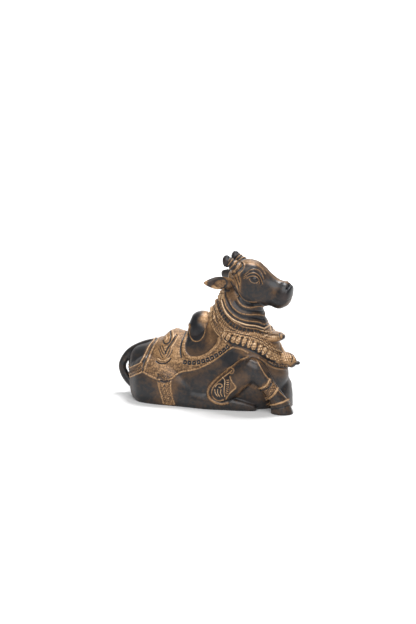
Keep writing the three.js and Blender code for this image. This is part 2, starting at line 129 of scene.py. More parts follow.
TRUNK = np.array([
    section(-98.6, 46, -95.6, 14, 8, 0.5, 2.2),
    section(-90, 58, -88, -3, 23, 0.4, 2.3),
    section(-72, 65.6, -72, -4, 33, 0.35, 2.2),
    section(-56, 72.5, -56, -4, 37, 0.3, 2.2),
    section(-44, 81.4, -43, -4, 39, 0.28, 2.1),
    section(-24, 79.8, -22, -4, 40, 0.28, 2.1),
    section(-6, 86, 10, -4, 40, 0.3, 2.1),
    section(1, 95, 46, -4, 38, 0.34, 2.1),
    section(2.5, 100, 78, -4, 37, 0.4, 2.1, 0, 6),
    section(3, 102, 95.5, 32, 35, 0.45, 2.1, 0, 12),
    section(4, 105.3, 90, 57, 32.5, 0.5, 1.8, 0, 14),
    section(3.6, 110.6, 87, 66.5, 30.5, 0.5, 1.8, 0, 12),
    section(7.5, 116, 85, 73, 29.5, 0.5, 1.8, 2, 9),
    section(10.3, 120, 80, 82, 28.5, 0.5, 1.85, 4.5, 7),
    section(12, 125, 74, 90, 27, 0.5, 1.9, 6, 5),
    section(13.2, 129, 70.8, 96.5, 25.5, 0.5, 1.9, 7, 3),
    section(16, 133.5, 68.8, 102, 24, 0.5, 1.9, 8, 1),
    section(20.5, 138.5, 66.8, 108, 22, 0.5, 1.95, 8, 0),
    section(30, 142, 64.8, 117, 19, 0.5, 2.1, 5, 0),
])
# The bands of the garland, the collar and the necklace: places along the trunk, the swell all round, and that
# in front.
BANDS = np.array([
    (9.58, 0.0, 0.0), (9.66, 2.0, 2.5), (10.0, 2.0, 5.0), (10.34, 2.0, 3.5), (10.42, 0.0, 0.0),
    (10.7, 0.0, 0.0), (11.0, 2.2, 0.0), (11.3, 0.0, 0.0),
    (12.58, 0.0, 0.0), (12.66, 1.4, 2.0), (13.0, 1.4, 4.0), (13.34, 1.4, 2.8), (13.42, 0.0, 0.0),
])
# How fast the swell in front falls off towards the sides.
FRONT_FADE = 6

HUMP = limb([(-6, 0, 66, 16, 15.8), (-7.5, 0, 80, 17, 16), (-7.8, 0, 90, 16.5, 15),
             (-6.8, 0, 96, 14.5, 13.6)], FORWARD, 2.2)
BREAST = limb([(77, 4, 47, 14, 12), (82, 5, 31, 16, 13), (85.5, 5, 17, 18.5, 13.5), (86, 5, 5, 19, 13.5),
               (86, 5, -5, 19, 13.5)], FORWARD, 2.3)
HEAD = np.array([
    section(28, 157, 35, 131, 12),
    section(36, 166, 42, 121, 17, 0.55, 2.3),
    section(47, 170.3, 51, 116.5, 19.5, 0.55, 2.4),
    section(58.5, 168, 61, 116, 19, 0.58, 2.4),
    section(67, 162.2, 69, 117, 15.5, 0.58, 2.3),
    section(77, 154, 75, 118, 12.5, 0.55, 2.2),
    section(86, 148.4, 81, 116, 12, 0.5, 2.3),
    section(94, 146.8, 87.5, 115.6, 13, 0.5, 2.4),
    section(98.9, 143.8, 93.8, 118.6, 12, 0.5, 2.4),
])
FOREARM = limb([(28, -32, 21, 13, 15), (40, -35, 31, 13, 14.5), (53, -37, 43, 12.5, 14),
                (63, -37, 51, 12, 13.5)], UP, 2.2)
CANNON = limb([(61, -37, 56, 11, 10), (69, -37, 50, 11, 12), (78, -35, 40, 9.5, 10.5),
               (85.5, -33, 30, 8, 8.5), (92, -30, 20, 8, 8.5), (96, -27, 9, 10, 11),
               (98, -26, -3, 11.5, 13.5)], FORWARD, 2.2)
FOLDED_ARM = limb([(30, 35, 21, 12, 16), (48, 34, 24, 13, 17), (66, 25, 21, 17, 18),
                   (80.5, 15, 14.5, 19, 17.5)], UP, 2.2)
FOLDED_FOOT = limb([(88, 18, 8, 9.5, 10), (76, 2, 8, 8, 9), (68, -12, 7, 8.5, 8)], UP, 2.2)
TAIL = limb([(-62, 0, 66, 5, 4), (-78, 0, 61, 5, 4.8), (-94, 0, 52.5, 5, 5.5), (-103.5, 0, 44, 4.8, 5),
             (-109, 0, 33.5, 4.4, 4.5), (-107, 0, 24.3, 4.6, 4.8), (-102.2, 0, 17, 5, 4.8),
             (-95.5, 0, 11, 5.5, 5), (-86, 0, 5, 6, 5)], BEHIND)


def haunch(side):
    """The thigh, from the rump to the knee."""
    return limb([(-80.5, side * 16, 22, 15, 26), (-68, side * 21, 22, 20, 33), (-50, side * 24, 20, 20, 34),
                 (-30, side * 27, 17, 17, 28), (-12, side * 30, 13, 13, 20)], UP, 2.3)


def hind_foot(side):
    """The folded hind foot, from under the knee to its hoof."""
    return limb([(-20, side * 32, 10, 11, 13), (10, side * 35, 8, 9, 10), (32, side * 33, 8, 8.5, 8.5),
                 (50, side * 29, 6, 8.5, 7), (63, side * 25, 3, 7, 5)], UP, 2.4)


def horn(side):
    """The horn, from its root to below its tip."""
    return limb([(43, side * 11, 156, 8.5, 8.5), (36.5, side * 13.5, 163.5, 7, 7),
                 (30.5, side * 15, 168.5, 5, 5), (28.5, side * 15.2, 170, 4.8, 4.8)], UP)


def horn_tip(side):
    """The ball on a horn's end: its centre and its radii."""
    return (27.2, side * 15.2, 169.2), (5.2, 5.2, 7.3)


RIGHT_EAR = limb([(36, -14, 144, 3, 4), (29, -20, 145, 3, 6.6), (20, -27, 145.6, 2.8, 7.6),
                  (13, -32.5, 146.1, 2.4, 5), (8, -36, 146.5, 1.3, 1.9)], UP)
LEFT_EAR = limb([(36, 14, 144, 3, 4), (28, 20, 145, 3, 6.6), (18, 27, 145.1, 2.8, 7),
                 (10, 32.5, 145, 2.8, 5.6), (5, 35.4, 144.6, 2.6, 4.2)], UP)


def station_at(stations, place):
    """The stations' values at places along them, counted in stations, smoothly between them."""
    last = len(stations) - 1
    first = np.clip(np.floor(place), 0, last - 1).astype(int)
    t = np.clip(place - first, 0, 1)[:, None]
    a, b, c, d = (stations[np.clip(first + k, 0, last)] for k in (-1, 0, 1, 2))
    return spline(a, b, c, d, t)


def round_section(rows, angle, swell=0.0, front=0.0):
    """From a section's centre to its edge, at angles from its top towards the bull's right."""
    rise, reach = (np.sign(v) * np.abs(v) ** (2 / rows[:, SQUARE]) for v in (np.cos(angle), np.sin(angle)))
    updown = np.where((rise > 0)[:, None], rows[:, RISE], rows[:, FALL])
    out = rows[:, REACH] * reach[:, None] + updown * np.abs(rise)[:, None]
    forward = np.maximum(0, -np.cos(angle)) ** FRONT_FADE
    length = np.linalg.norm(out, axis=1, keepdims=True)
    out = out + out / length * (swell + front * forward)[:, None]
    out[:, 2] -= np.sin(angle) ** 2 * (rows[:, SAG] + rows[:, SWAY] * np.cos(angle))
    return out


# The steps of a rounded end, how far from an end its direction is taken, in stations, and how near vertices
# merge.
DOME_STEPS = 8
END_STEP = 0.1
WELD = 1e-6


def drawn_out(bm, stations, rings, sides, round_ends=(0, 0), bands=None):
    """A sheet rolled up round stations and closed in rounded ends of two depths."""
    last = len(stations) - 1
    turn = np.linspace(0, math.pi / 2, DOME_STEPS + 1)
    place = np.concatenate([np.zeros(DOME_STEPS), np.linspace(0, last, rings + 1), np.full(DOME_STEPS, last)])
    size = np.concatenate([np.sin(turn[:-1]), np.ones(rings + 1), np.sin(turn[:-1])[::-1]])
    depth = np.concatenate([-round_ends[0] * np.cos(turn[:-1]), np.zeros(rings + 1),
                            round_ends[1] * np.cos(turn[:-1])[::-1]])
    count = len(place) - 1
    sheet = bmesh.ops.create_grid(bm, x_segments=sides, y_segments=count, size=0.5)["verts"]
    share = np.array([v.co for v in sheet]) + 0.5
    row = np.rint(share[:, 1] * count).astype(int)
    angle = 2 * math.pi * share[:, 0]
    ends = station_at(stations, np.array([0, END_STEP, last - END_STEP, last], float))[:, CENTRE]
    start, finish = ends[1] - ends[0], ends[3] - ends[2]
    start, finish = start / np.linalg.norm(start), finish / np.linalg.norm(finish)
    rows = station_at(stations, place[row])
    swell = front = np.zeros(len(row))
    if bands is not None:
        swell, front = (np.interp(place[row], bands[:, 0], bands[:, k]) for k in (1, 2))
    shift = np.where(depth[row, None] < 0, depth[row, None] * start, depth[row, None] * finish)
    points = rows[:, CENTRE] + round_section(rows, angle, swell, front) * size[row, None] + shift
    for v, point in zip(sheet, points * MM):
        v.co = point
    bmesh.ops.remove_doubles(bm, verts=sheet, dist=WELD)


def ball_at(bm, centre, radii, across=24, high=16):
    """A ball stretched to three radii, its poles up and down."""
    place = Matrix.Translation(Vector(centre) * MM) @ Matrix.Diagonal((*(r * MM for r in radii), 1))
    bmesh.ops.create_uvsphere(bm, u_segments=across, v_segments=high, radius=1, matrix=place)


def new_object(name, bm):
    """The bmesh as an object of the scene, its faces pointing out."""
    bmesh.ops.recalc_face_normals(bm, faces=bm.faces)
    mesh = bpy.data.meshes.new(name)
    bm.to_mesh(mesh)
    bm.free()
    made = bpy.data.objects.new(name, mesh)
    bpy.context.scene.collection.objects.link(made)
    return made


def settled(obj):
    """The object with its modifiers applied to its mesh."""
    graph = bpy.context.evaluated_depsgraph_get()
    mesh = bpy.data.meshes.new_from_object(obj.evaluated_get(graph))
    obj.modifiers.clear()
    old, obj.data = obj.data, mesh
    mesh.name = old.name
    bpy.data.meshes.remove(old)
    return obj


def fused(obj, voxel, passes):
    """One skin round all of the object's overlapping forms, smoothed in a number of passes."""
    remesh = obj.modifiers.new("Fuse", "REMESH")
    remesh.mode = "VOXEL"
    remesh.voxel_size = voxel * MM
    smooth = obj.modifiers.new("Soften", "SMOOTH")
    smooth.factor = 0.5
    smooth.iterations = passes
    return settled(obj)


def big_forms():
    """The trunk, hump, head and limbs."""
    bm = bmesh.new()
    drawn_out(bm, TRUNK, 360, 128, (3, 0), BANDS)
    drawn_out(bm, HUMP, 24, 48, (0, 10))
    drawn_out(bm, BREAST, 32, 56)
    drawn_out(bm, HEAD, 64, 72, (6, 4))
    drawn_out(bm, FOREARM, 24, 48, (12, 8))
    drawn_out(bm, CANNON, 60, 48, (4, 0))
    drawn_out(bm, FOLDED_ARM, 24, 48, (11, 5))
    drawn_out(bm, FOLDED_FOOT, 24, 40, (7, 5))
    for side in SIDES:
        drawn_out(bm, haunch(side), 32, 56, (8, 12))
        drawn_out(bm, hind_foot(side), 32, 40, (6, 5))
    ball_at(bm, (76.5, 0, 82), (16, 16, 5.5), 56, 32)
    ball_at(bm, (92.5, 0, 56), (13, 11, 9), 48, 32)
    return new_object("big_forms", bm)


def small_forms():
    """The tail, horns, ears, eyes and the chest's great bell with its clapper."""
    bm = bmesh.new()
    drawn_out(bm, TAIL, 96, 28, (2, 2))
    for side in SIDES:
        drawn_out(bm, horn(side), 32, 32)
        ball_at(bm, *horn_tip(side))
        ball_at(bm, (60.5, side * 15.6, 151), (5.6, 4.4, 3.8))
    drawn_out(bm, RIGHT_EAR, 40, 28, (0, 1))
    drawn_out(bm, LEFT_EAR, 40, 28, (0, 2))
    ball_at(bm, (101.1, 0, 54), (5.5, 7.5, 6.5), 40, 28)
    ball_at(bm, (106.1, 0, 53.5), (5, 2.6, 2.6))
    return new_object("small_forms", bm)


def connected_parts(bm):
    """The vertices of each connected part of a mesh, the largest part last."""
    seen, parts = set(), []
    for start in bm.verts:
        if start in seen:
            continue
        seen.add(start)
        part = [start]
        for vert in part:
            for edge in vert.link_edges:
                other = edge.other_vert(vert)
                if other not in seen:
                    seen.add(other)
                    part.append(other)
        parts.append(part)
    return sorted(parts, key=len)


def cut_flat(obj):
    """What reaches below the ground is cut away, and the hollows in the flat underside are filled."""
    bm = bmesh.new()
    bm.from_mesh(obj.data)
    geometry = bm.verts[:] + bm.edges[:] + bm.faces[:]
    cut = bmesh.ops.bisect_plane(bm, geom=geometry, plane_co=(0, 0, 0), plane_no=(0, 0, -1), clear_outer=True)
    rim = [e for e in cut["geom_cut"] if isinstance(e, bmesh.types.BMEdge)]
    filled = bmesh.ops.edgeloop_fill(bm, edges=rim)["faces"]
    bmesh.ops.triangulate(bm, faces=filled)
    pockets = connected_parts(bm)[:-1]
    bmesh.ops.delete(bm, geom=[vert for pocket in pockets for vert in pocket], context="VERTS")
    bmesh.ops.recalc_face_normals(bm, faces=bm.faces)
    bm.to_mesh(obj.data)
    bm.free()


def joined(keep, other):
    """The first object with both objects' meshes, the other one gone."""
    bm = bmesh.new()
    for obj in (keep, other):
        bm.from_mesh(obj.data)
    bm.to_mesh(keep.data)
    bm.free()
    mesh = other.data
    bpy.data.objects.remove(other)
    bpy.data.meshes.remove(mesh)
    return keep


# The step between a line's points in millimetres or pixels, how many points its normals are evened out over,
# and how many steps a curve takes from one given point to the next.
SAMPLE = 0.4
NORMAL_WINDOW = 7
CURVE_STEPS = 24


class Line:
    """A line on the skin: its points, how far along each is, its direction, the normal and the way across.

    hand is -1 where the way across is turned round, as on the left side's copy of a line.
    """

    def __init__(self, points, normals, hand=1):
        self.points = points
        steps = np.linalg.norm(np.diff(points, axis=0), axis=1)
        self.along = np.concatenate([[0], np.cumsum(steps)])
        self.length = self.along[-1]
        self.tangent = unit(np.gradient(points, axis=0))
        kernel = np.ones(NORMAL_WINDOW) / NORMAL_WINDOW
        padded = np.pad(normals, ((NORMAL_WINDOW // 2,) * 2, (0, 0)), mode="edge")
        self.normal = unit(np.stack([np.convolve(padded[:, k], kernel, "valid") for k in range(3)], axis=1))
        self.across = unit(np.cross(self.tangent, self.normal)) * hand


def curve_through(points, step):
    """Points at an even step along the smooth curve through the given ones."""
    points = np.array(points, float)
    padded = np.vstack([2 * points[0] - points[1], points, 2 * points[-1] - points[-2]])
    fine = []
    t = np.linspace(0, 1, CURVE_STEPS, endpoint=False)[:, None]
    for a, b, c, d in zip(padded, padded[1:], padded[2:], padded[3:]):
        fine.append(spline(a, b, c, d, t))
    return even(np.vstack([*fine, points[-1:]]), step)


def even(points, step):
    """The same line with its points at an even step."""
    along = np.concatenate([[0], np.cumsum(np.linalg.norm(np.diff(points, axis=0), axis=1))])
    count = max(int(round(along[-1] / step)), 2)
    at = np.linspace(0, along[-1], count + 1)
    return np.stack([np.interp(at, along, points[:, k]) for k in range(points.shape[1])], axis=1)


MIRROR = np.array([1.0, -1.0, 1.0])
# Where a line cast from behind the bull starts, where one cast from above does, the step between such lines,
# and how far from the middle plane the crupper ends.
BEHIND_BULL = -300
ABOVE_BULL = 260
CAST_STEP = 0.5
BESIDE_TAIL = -7
# How many places a ring round a limb runs through.
RING_STEPS = 160


class Skin:
    """The bull's skin, to find places on. What it finds are lists of lines."""

    def __init__(self, obj):
        self.tree = BVHTree.FromObject(obj, bpy.context.evaluated_depsgraph_get())
        self.back, self.right, self.up = camera_axes()
        self.camera = TARGET + self.back * DISTANCE

    def hit(self, origin, direction):
        """Where a line from a place first meets the skin, or None."""
        place = self.tree.ray_cast(Vector(origin) * MM, Vector(direction))[0]
        return None if place is None else np.array(place) / MM

    def nearest(self, points):
        """The places on the skin nearest to points, and its normals there."""
        found = [self.tree.find_nearest(Vector(p) * MM) for p in points]
        return np.array([f[0] for f in found]) / MM, np.array([f[1] for f in found])

    def seen(self, pixels):
        """The places that a line in the photograph runs over, on the bull's right side."""
        places = []
        for x, y in curve_through(pixels, SAMPLE):
            shift = self.right * (x - PHOTO_CENTRE[0]) + self.up * (PHOTO_CENTRE[1] - y)
            place = self.hit(self.camera, unit(TARGET + shift * MM_PER_PIXEL - self.camera))
            if place is not None and place[1] < 0:
                places.append(place)
        return np.array(places)

    def line(self, places, hand=1):
        """The line on the skin that runs nearest to places."""
        return Line(*self.nearest(places), hand)

    def mirrored(self, half):
        """A line through places on the right side, and the same line on the left side."""
        places = even(half, SAMPLE)
        return [self.line(places), self.line(places * MIRROR, -1)]

    def both(self, *drawn):
        """Lines on the right side, each with the same line on the left side."""
        return [line for pixels in drawn for line in self.mirrored(self.seen(pixels))]

    def to_tail(self, *drawn):
        """Lines on the right side that go on round the rump to the tail, and the same on the left side."""
        lines = []
        for pixels in drawn:
            half = self.seen(pixels)
            _, side, height = half[-1]
            sides = np.arange(side + CAST_STEP, BESIDE_TAIL, CAST_STEP)
            found = [self.hit((BEHIND_BULL, y, height), FORWARD) for y in sides]
            lines += self.mirrored(np.vstack([half, *[place for place in found if place is not None]]))
        return lines

    def one(self, *drawn):
        """Lines on the right side alone."""
        return [self.line(even(self.seen(pixels), SAMPLE)) for pixels in drawn]

    def over(self, *drawn):
        """Lines that start on the right side, and go over the middle plane and down the left side."""
        halves = [self.seen(pixels) for pixels in drawn]
        return [self.line(even(np.vstack([half, half[::-1] * MIRROR]), SAMPLE)) for half in halves]

    def around(self, *drawn):
        """Closed lines round the body, through both of their crossings of the middle plane."""
        halves = [self.seen(pixels) for pixels in drawn]
        return [self.line(even(np.vstack([half, half[::-1] * MIRROR, half[:1]]), SAMPLE)) for half in halves]

    def ring(self, stations, place):
        """A line round a limb at a place along its stations."""
        angle = np.linspace(0, 2 * math.pi, RING_STEPS)
        rows = station_at(stations, np.full(len(angle), float(place)))
        return [self.line(even(rows[:, CENTRE] + round_section(rows, angle), SAMPLE))]

    def crest(self, start, finish, count):
        """A line along the top of the bull in its middle plane, from one X to another."""
        places = np.array([self.hit((x, 0, ABOVE_BULL), -UP) for x in np.linspace(start, finish, count)])
        return [self.line(even(places, SAMPLE))]


# The cells that the vertices are sorted into, in mm and along each axis, how many distances are worked out at
# a time, how many passes soften an outline's edge, and how nearly a vertex has to face the way that a line
# does, or the camera, to belong to it.
CELL = 3.0
CELLS = 400
BATCH = 4_000_000
AREA_EDGE = 4
FACING = 0.25
FACING_CAMERA = 0.05


def bump(x):
    """1 at 0, falling smoothly to 0 at 1 and beyond."""
    return np.maximum(0, 1 - x * x) ** 2


def dome(x):
    """1 at 0, falling as a ball's top does to 0 at 1 and beyond."""
    return np.sqrt(np.maximum(0, 1 - x * x))


def plateau(x, edge=0.35):
    """1 from 0 to near 1, then falling smoothly to 0 at 1, over an edge of the given width."""
    return eased(1 - np.abs(x), 0, edge)


def eased(x, low, high):
    """0 below one value and 1 above another, and smooth between them."""
    t = np.clip((x - low) / (high - low), 0, 1)
    return t * t * (3 - 2 * t)


class Relief:
    """Carving on a fine mesh: how far each vertex moves out, and how far its patina is rubbed.

    rubbed is 0 in black grooves, PLAIN on the smooth dark skin and 1 where the brass is rubbed to light tan.
    In places it also holds painted highlights and painted shade, which stand in for light and not for the
    patina.
    """

    PLAIN = 0.22

    def __init__(self, mesh):
        count = len(mesh.vertices)
        self.places = np.empty(count * 3)
        mesh.vertices.foreach_get("co", self.places)
        self.places = self.places.reshape(-1, 3) / MM
        self.normals = np.empty(count * 3)
        mesh.vertex_normals.foreach_get("vector", self.normals)
        self.normals = self.normals.reshape(-1, 3)
        self.edges = np.empty(len(mesh.edges) * 2, int)
        mesh.edges.foreach_get("vertices", self.edges)
        self.edges = self.edges.reshape(-1, 2)
        self.degree = np.bincount(self.edges.ravel(), minlength=count)
        self.height = np.zeros(count)
        self.rubbed = np.full(count, self.PLAIN)
        self.beaded = np.zeros(count)
        cells = self.cell_keys(self.places)
        self.order = np.argsort(cells)
        self.sorted = cells[self.order]

    @staticmethod
    def cell_keys(points):
        """The numbers of the cells that points lie in."""
        x, y, z = (np.floor(points / CELL).astype(int) + CELLS // 2).T
        return (x * CELLS + y) * CELLS + z

    def candidates(self, points, reach):
        """The vertices in the cells within reach of some points."""
        around = int(math.ceil(reach / CELL))
        span = np.arange(-around, around + 1) * CELL
        shifts = np.stack(np.meshgrid(span, span, span), axis=-1).reshape(-1, 3)
        keys = np.unique(self.cell_keys((points[::3, None, :] + shifts).reshape(-1, 3)))
        first = np.searchsorted(self.sorted, keys)
        after = np.searchsorted(self.sorted, keys, side="right")
        spans = [self.order[a:b] for a, b in zip(first, after) if b > a]
        return np.concatenate(spans) if spans else np.empty(0, int)

    def near(self, line, reach):
        """The vertices near a line: which, how far along it, how far across, and how far past its ends."""
        which = self.candidates(line.points, reach)
        places = self.places[which]
        closest = np.empty(len(which), int)
        batch = max(1, BATCH // len(line.points))
        square = (line.points**2).sum(1)
        for i in range(0, len(which), batch):
            part = places[i:i + batch]
            closest[i:i + batch] = (square - 2 * part @ line.points.T).argmin(1)
        away = places - line.points[closest]
        ahead = (away * line.tangent[closest]).sum(1)
        across = (away * line.across[closest]).sum(1)
        out = (away * line.normal[closest]).sum(1)
        facing = (self.normals[which] * line.normal[closest]).sum(1)
        keep = (np.hypot(ahead, across) < reach) & (np.abs(out) < reach + 1) & (facing > FACING)
        along = (line.along[closest] + ahead)[keep]
        past = np.maximum(0, np.maximum(-along, along - line.length))
        return which[keep], along, across[keep], past

    def rub(self, which, share, value):
        """Takes the vertices' patina a share of the way to a value."""
        self.rubbed[which] += (value - self.rubbed[which]) * share

    def ridge(self, lines, half, height, rub=None, share=1.0, aside=0.0):
        """A rounded ridge along lines, or one that runs aside of them by some millimetres."""
        for line in lines:
            which, _, across, past = self.near(line, half * 1.6 + abs(aside))
            x = np.hypot(across - aside, past) / half
            self.height[which] += height * bump(x)
            if rub is not None:
                self.rub(which, plateau(x / 1.15, 0.6) * share, rub)

    def groove(self, lines, half, depth, rub, share=1.0):
        """A rounded groove along lines."""
        self.ridge(lines, half, -depth, rub, share)

    def rails(self, lines, aside, half, height, rub):
        """Two thin ridges, one on each side of the lines."""
        for hand in SIDES:
            self.ridge(lines, half, height, rub, aside=hand * aside)

    def band(self, lines, half, height, rub, edge=0.35):
        """A flat band along lines, its edges smooth."""
        for line in lines:
            which, _, across, past = self.near(line, half + 1)
            x = np.hypot(across, past) / half
            self.height[which] += height * plateau(x, edge)
            self.rub(which, plateau(x, edge), rub)

    def spaced(self, line, pitch, reach):
        """The vertices near a line that carries a row of things: which, how far across, the thing's number,
        the place along it counted from its middle as a share of the step, and the step.
        """
        step = line.length / max(1, round(line.length / pitch))
        which, along, across, past = self.near(line, reach)
        inside = past <= 0
        which, along, across = which[inside], along[inside], across[inside]
        return which, across, np.floor(along / step), np.mod(along / step, 1) - 0.5, step

    def beads(self, lines, pitch, half_along, half_across, height, square, rub, between, dent=0.0):
        """A row of beads, and the ground between them rubbed to a value of its own, or left for None.

        square is 2 for round beads and more for squarer ones. dent is how deep their middles are, as a share
        of their height.
        """
        for line in lines:
            which, across, _, place, step = self.spaced(line, pitch, half_across * 1.35)
            u = place * step
            far = (np.abs(u / half_along) ** square + np.abs(across / half_across) ** square) ** (1 / square)
            if between is not None:
                self.rub(which, plateau(np.abs(across) / (half_across * 1.3), 0.3), between)
            self.height[which] += height * (dome(far) - dent * bump(far / 0.55))
            self.rub(which, plateau(far, 0.3), rub)
            if dent:
                self.rub(which, plateau(far / 0.45, 0.6), between)

    def bells(self, lines, pitch, half, height, rub, gap_shade):
        """A row of hanging bells, with dark gaps between them that widen to their lower ends. The gaps' dark,
        deepest low down, and a dark spot low on each bell are painted shade; a light spot near each bell's
        top is a painted glint.
        """
        for line in lines:
            which, across, number, place, step = self.spaced(line, pitch, half * 1.1)
            u = (place + 0.07 * np.sin(2.4 * number)) * step
            down = np.clip((across / half + 1) / 2 + 0.06 * np.sin(1.7 * number + 1), 0, 1)
            wide = 0.62 + 0.4 * eased(down, 0.12, 0.4) - 0.62 * eased(down, 0.72, 0.92)
            beside = np.abs(u) / (step / 2 * wide)
            hang = plateau(across / half, 0.25)
            # The ground between the bells, painted darker towards their lower ends as painted shade.
            self.rub(which, hang, gap_shade + 0.75 * (rub - gap_shade) * (1 - eased(down, 0.2, 0.6)))
            body = 0.7 + 0.3 * dome((down - 0.55) / 0.3)
            self.height[which] += height * dome(beside * 0.96) * hang * body
            self.rub(which, plateau(beside, 0.4) * plateau(across / half, 0.15), rub)
            # A painted shade low on each bell.
            shade = bump(np.hypot((u - 0.12 * step) / (0.24 * step), (down - 0.7) / 0.14))
            self.rub(which, 0.6 * shade, gap_shade)
            # A painted highlight, a glint near each bell's top.
            glint = bump(np.hypot((u + 0.1 * step) / (0.17 * step), (down - 0.32) / 0.1))
            self.rub(which, glint, 0.98)

    def spot(self, centre, normal, radius, height, rub):
        """A round boss, or a hollow where height is negative."""
        which = self.candidates(centre[None], radius * 1.6)
        away = self.places[which] - centre
        out = away @ normal
        far = np.sqrt(np.maximum(0, (away**2).sum(1) - out**2)) / radius
        keep = (far < 1.5) & (np.abs(out) < radius + 2) & (self.normals[which] @ normal > FACING)
        which, far = which[keep], far[keep]
        self.height[which] += height * bump(far)
        self.rub(which, plateau(far, 0.4), rub)

    def within(self, pixels, facing=FACING_CAMERA):
        """Which vertices lie inside an outline in the photograph, on both sides of the bull."""
        back, right, up = camera_axes()
        flip = np.where(self.places[:, 1:2] > 0, MIRROR, 1.0)
        away = self.places * flip - TARGET
        depth = DISTANCE - away @ back
        x = PHOTO_CENTRE[0] + away @ right * DISTANCE / depth / MM_PER_PIXEL
        y = PHOTO_CENTRE[1] - away @ up * DISTANCE / depth / MM_PER_PIXEL
        found = np.zeros(len(x), bool)
        for (ax, ay), (bx, by) in zip(pixels, pixels[1:] + pixels[:1]):
            if ay != by:
                found ^= ((y < ay) != (y < by)) & (x < ax + (y - ay) * (bx - ax) / (by - ay))
        return found & ((self.normals * flip) @ back > facing)

    def inside(self, pixels, facing=FACING_CAMERA):
        """1 inside an outline in the photograph and 0 outside it, softly, on both sides of the bull."""
        return self.blurred(self.within(pixels, facing).astype(float), AREA_EDGE)

    def paint(self, pixels, share, value, facing=FACING_CAMERA):
        """Takes the patina inside an outline a share of the way to a value."""
        self.rub(slice(None), share * self.inside(pixels, facing), value)

    def uneven(self, share, height, rub):
        """Small lumps and hollows, as a worn casting has them, over part of the skin."""
        lumps = sum(np.sin(self.places @ np.array(wave) + start) for wave, start in LUMPS) / 2
        self.height += height * share * lumps
        self.rubbed += rub * share * lumps

    def blurred(self, values, passes):
        """Values evened out over the mesh in a number of passes."""
        a, b = self.edges.T
        for _ in range(passes):
            total = np.bincount(a, values[b], len(values)) + np.bincount(b, values[a], len(values))
            values = values + (total / self.degree - values) * 0.5
        return values

    def rounded(self, places, passes):
        """The vertices' places evened out over the mesh."""
        return np.stack([self.blurred(places[:, axis], passes) for axis in range(3)], axis=1)

    def moved(self):
        """The vertices' places with the relief raised on them."""
        return self.places + self.normals * self.height[:, None]

    def hollow(self, passes):
        """How hollow the carved skin is at each vertex, in mm: above 0 in grooves and below it on ridges."""
        places = self.moved()
        return ((self.rounded(places, passes) - places) * self.normals).sum(1)


# The waves whose sum makes a worn casting's lumps: the turns of each along X, Y and Z in radians a
# millimetre, and where it starts.
LUMPS = [((2.1, 1.3, -1.6), 0.0), ((-1.4, 2.2, 1.1), 1.3), ((0.8, -1.1, 2.6), 2.1), ((-2.4, -0.7, -1.2), 0.7)]

# From here on the carving, as lines and outlines in the photograph's pixels on the bull's right side.

# How far the patina is rubbed over wider areas, some of them painted light, and how many passes soften their
# edges.
HAZES_AND_PAINTED_LIGHT = [
    (0.2, [(128, 356), (134, 348), (142, 343), (152, 339), (148, 350), (142, 360), (132, 364)]),
    (0.34, [(142, 371), (152, 378), (164, 382), (176, 377), (190, 372), (206, 367), (221, 357), (233, 348),
            (237, 352), (226, 361), (212, 368), (196, 374), (182, 379), (176, 392), (174, 404), (156, 404),
            (156, 388), (151, 381), (143, 375)]),
    # A painted highlight on the hump's upper right.
    (0.7, [(203, 311), (210, 309), (211, 318), (213, 328), (216, 335), (212, 336), (208, 329), (203.6, 324),
            (199, 322), (200, 318), (203, 315)]),
    (0.1, [(186, 341), (185, 325), (188, 316), (193, 309), (201, 309), (200, 315), (196, 322), (201, 327),
           (202, 334), (197, 341)]),
    # The hoof lightened as painted light, bounced up from the pale floor.
    (0.27, [(268, 403), (290, 402), (292, 412), (269, 413)]),
    (0.1, [(222, 357), (232, 350), (240, 353.6), (245, 357.6), (232, 366), (224, 369)]),
    (0.46, [(207, 332), (212, 326), (219, 338), (214, 347), (207, 343)]),
    (0.34, [(186, 345), (192, 351), (202, 351), (212, 345), (217, 340), (214, 350), (205, 356), (194, 358),
            (186, 354)]),
    (0.44, [(236, 346), (240, 344), (246, 347), (262, 356), (272, 366), (262, 364), (250, 358), (238, 354)]),
    (0.34, [(262, 362), (276, 369), (290, 368), (290, 377), (274, 376), (266, 370)]),
    (0.27, [(234, 400), (238, 392), (245, 385), (256, 385), (262, 393), (268, 402), (258, 402), (250, 390),
            (242, 396)]),
    (0.60, [(262, 334), (282, 340), (282, 351), (272, 348), (264, 342)]),
    (0.60, [(213, 300), (219, 289), (225, 286), (227, 300), (222, 318), (232, 329), (222, 334), (212, 328),
            (208, 312)]),
    (0.26, [(227, 284), (232, 282), (240, 299), (250, 306), (263, 305), (266, 315), (270, 326), (262, 330),
            (246, 328), (234, 322), (228, 310)]),
    (0.12, [(277, 293), (286, 290), (293, 286), (294, 296), (286, 306), (275, 303)]),
    (0.42, [(272.5, 288), (276, 288), (276.5, 298), (273, 298)]),
    (0.34, [(283, 306), (290, 298), (293, 292), (294, 300), (287, 308)]),
    (0.30, [(232, 376), (242, 370), (250, 376), (248, 384), (236, 390)]),
]
HAZE_AND_PAINTED_LIGHT_PASSES = 90

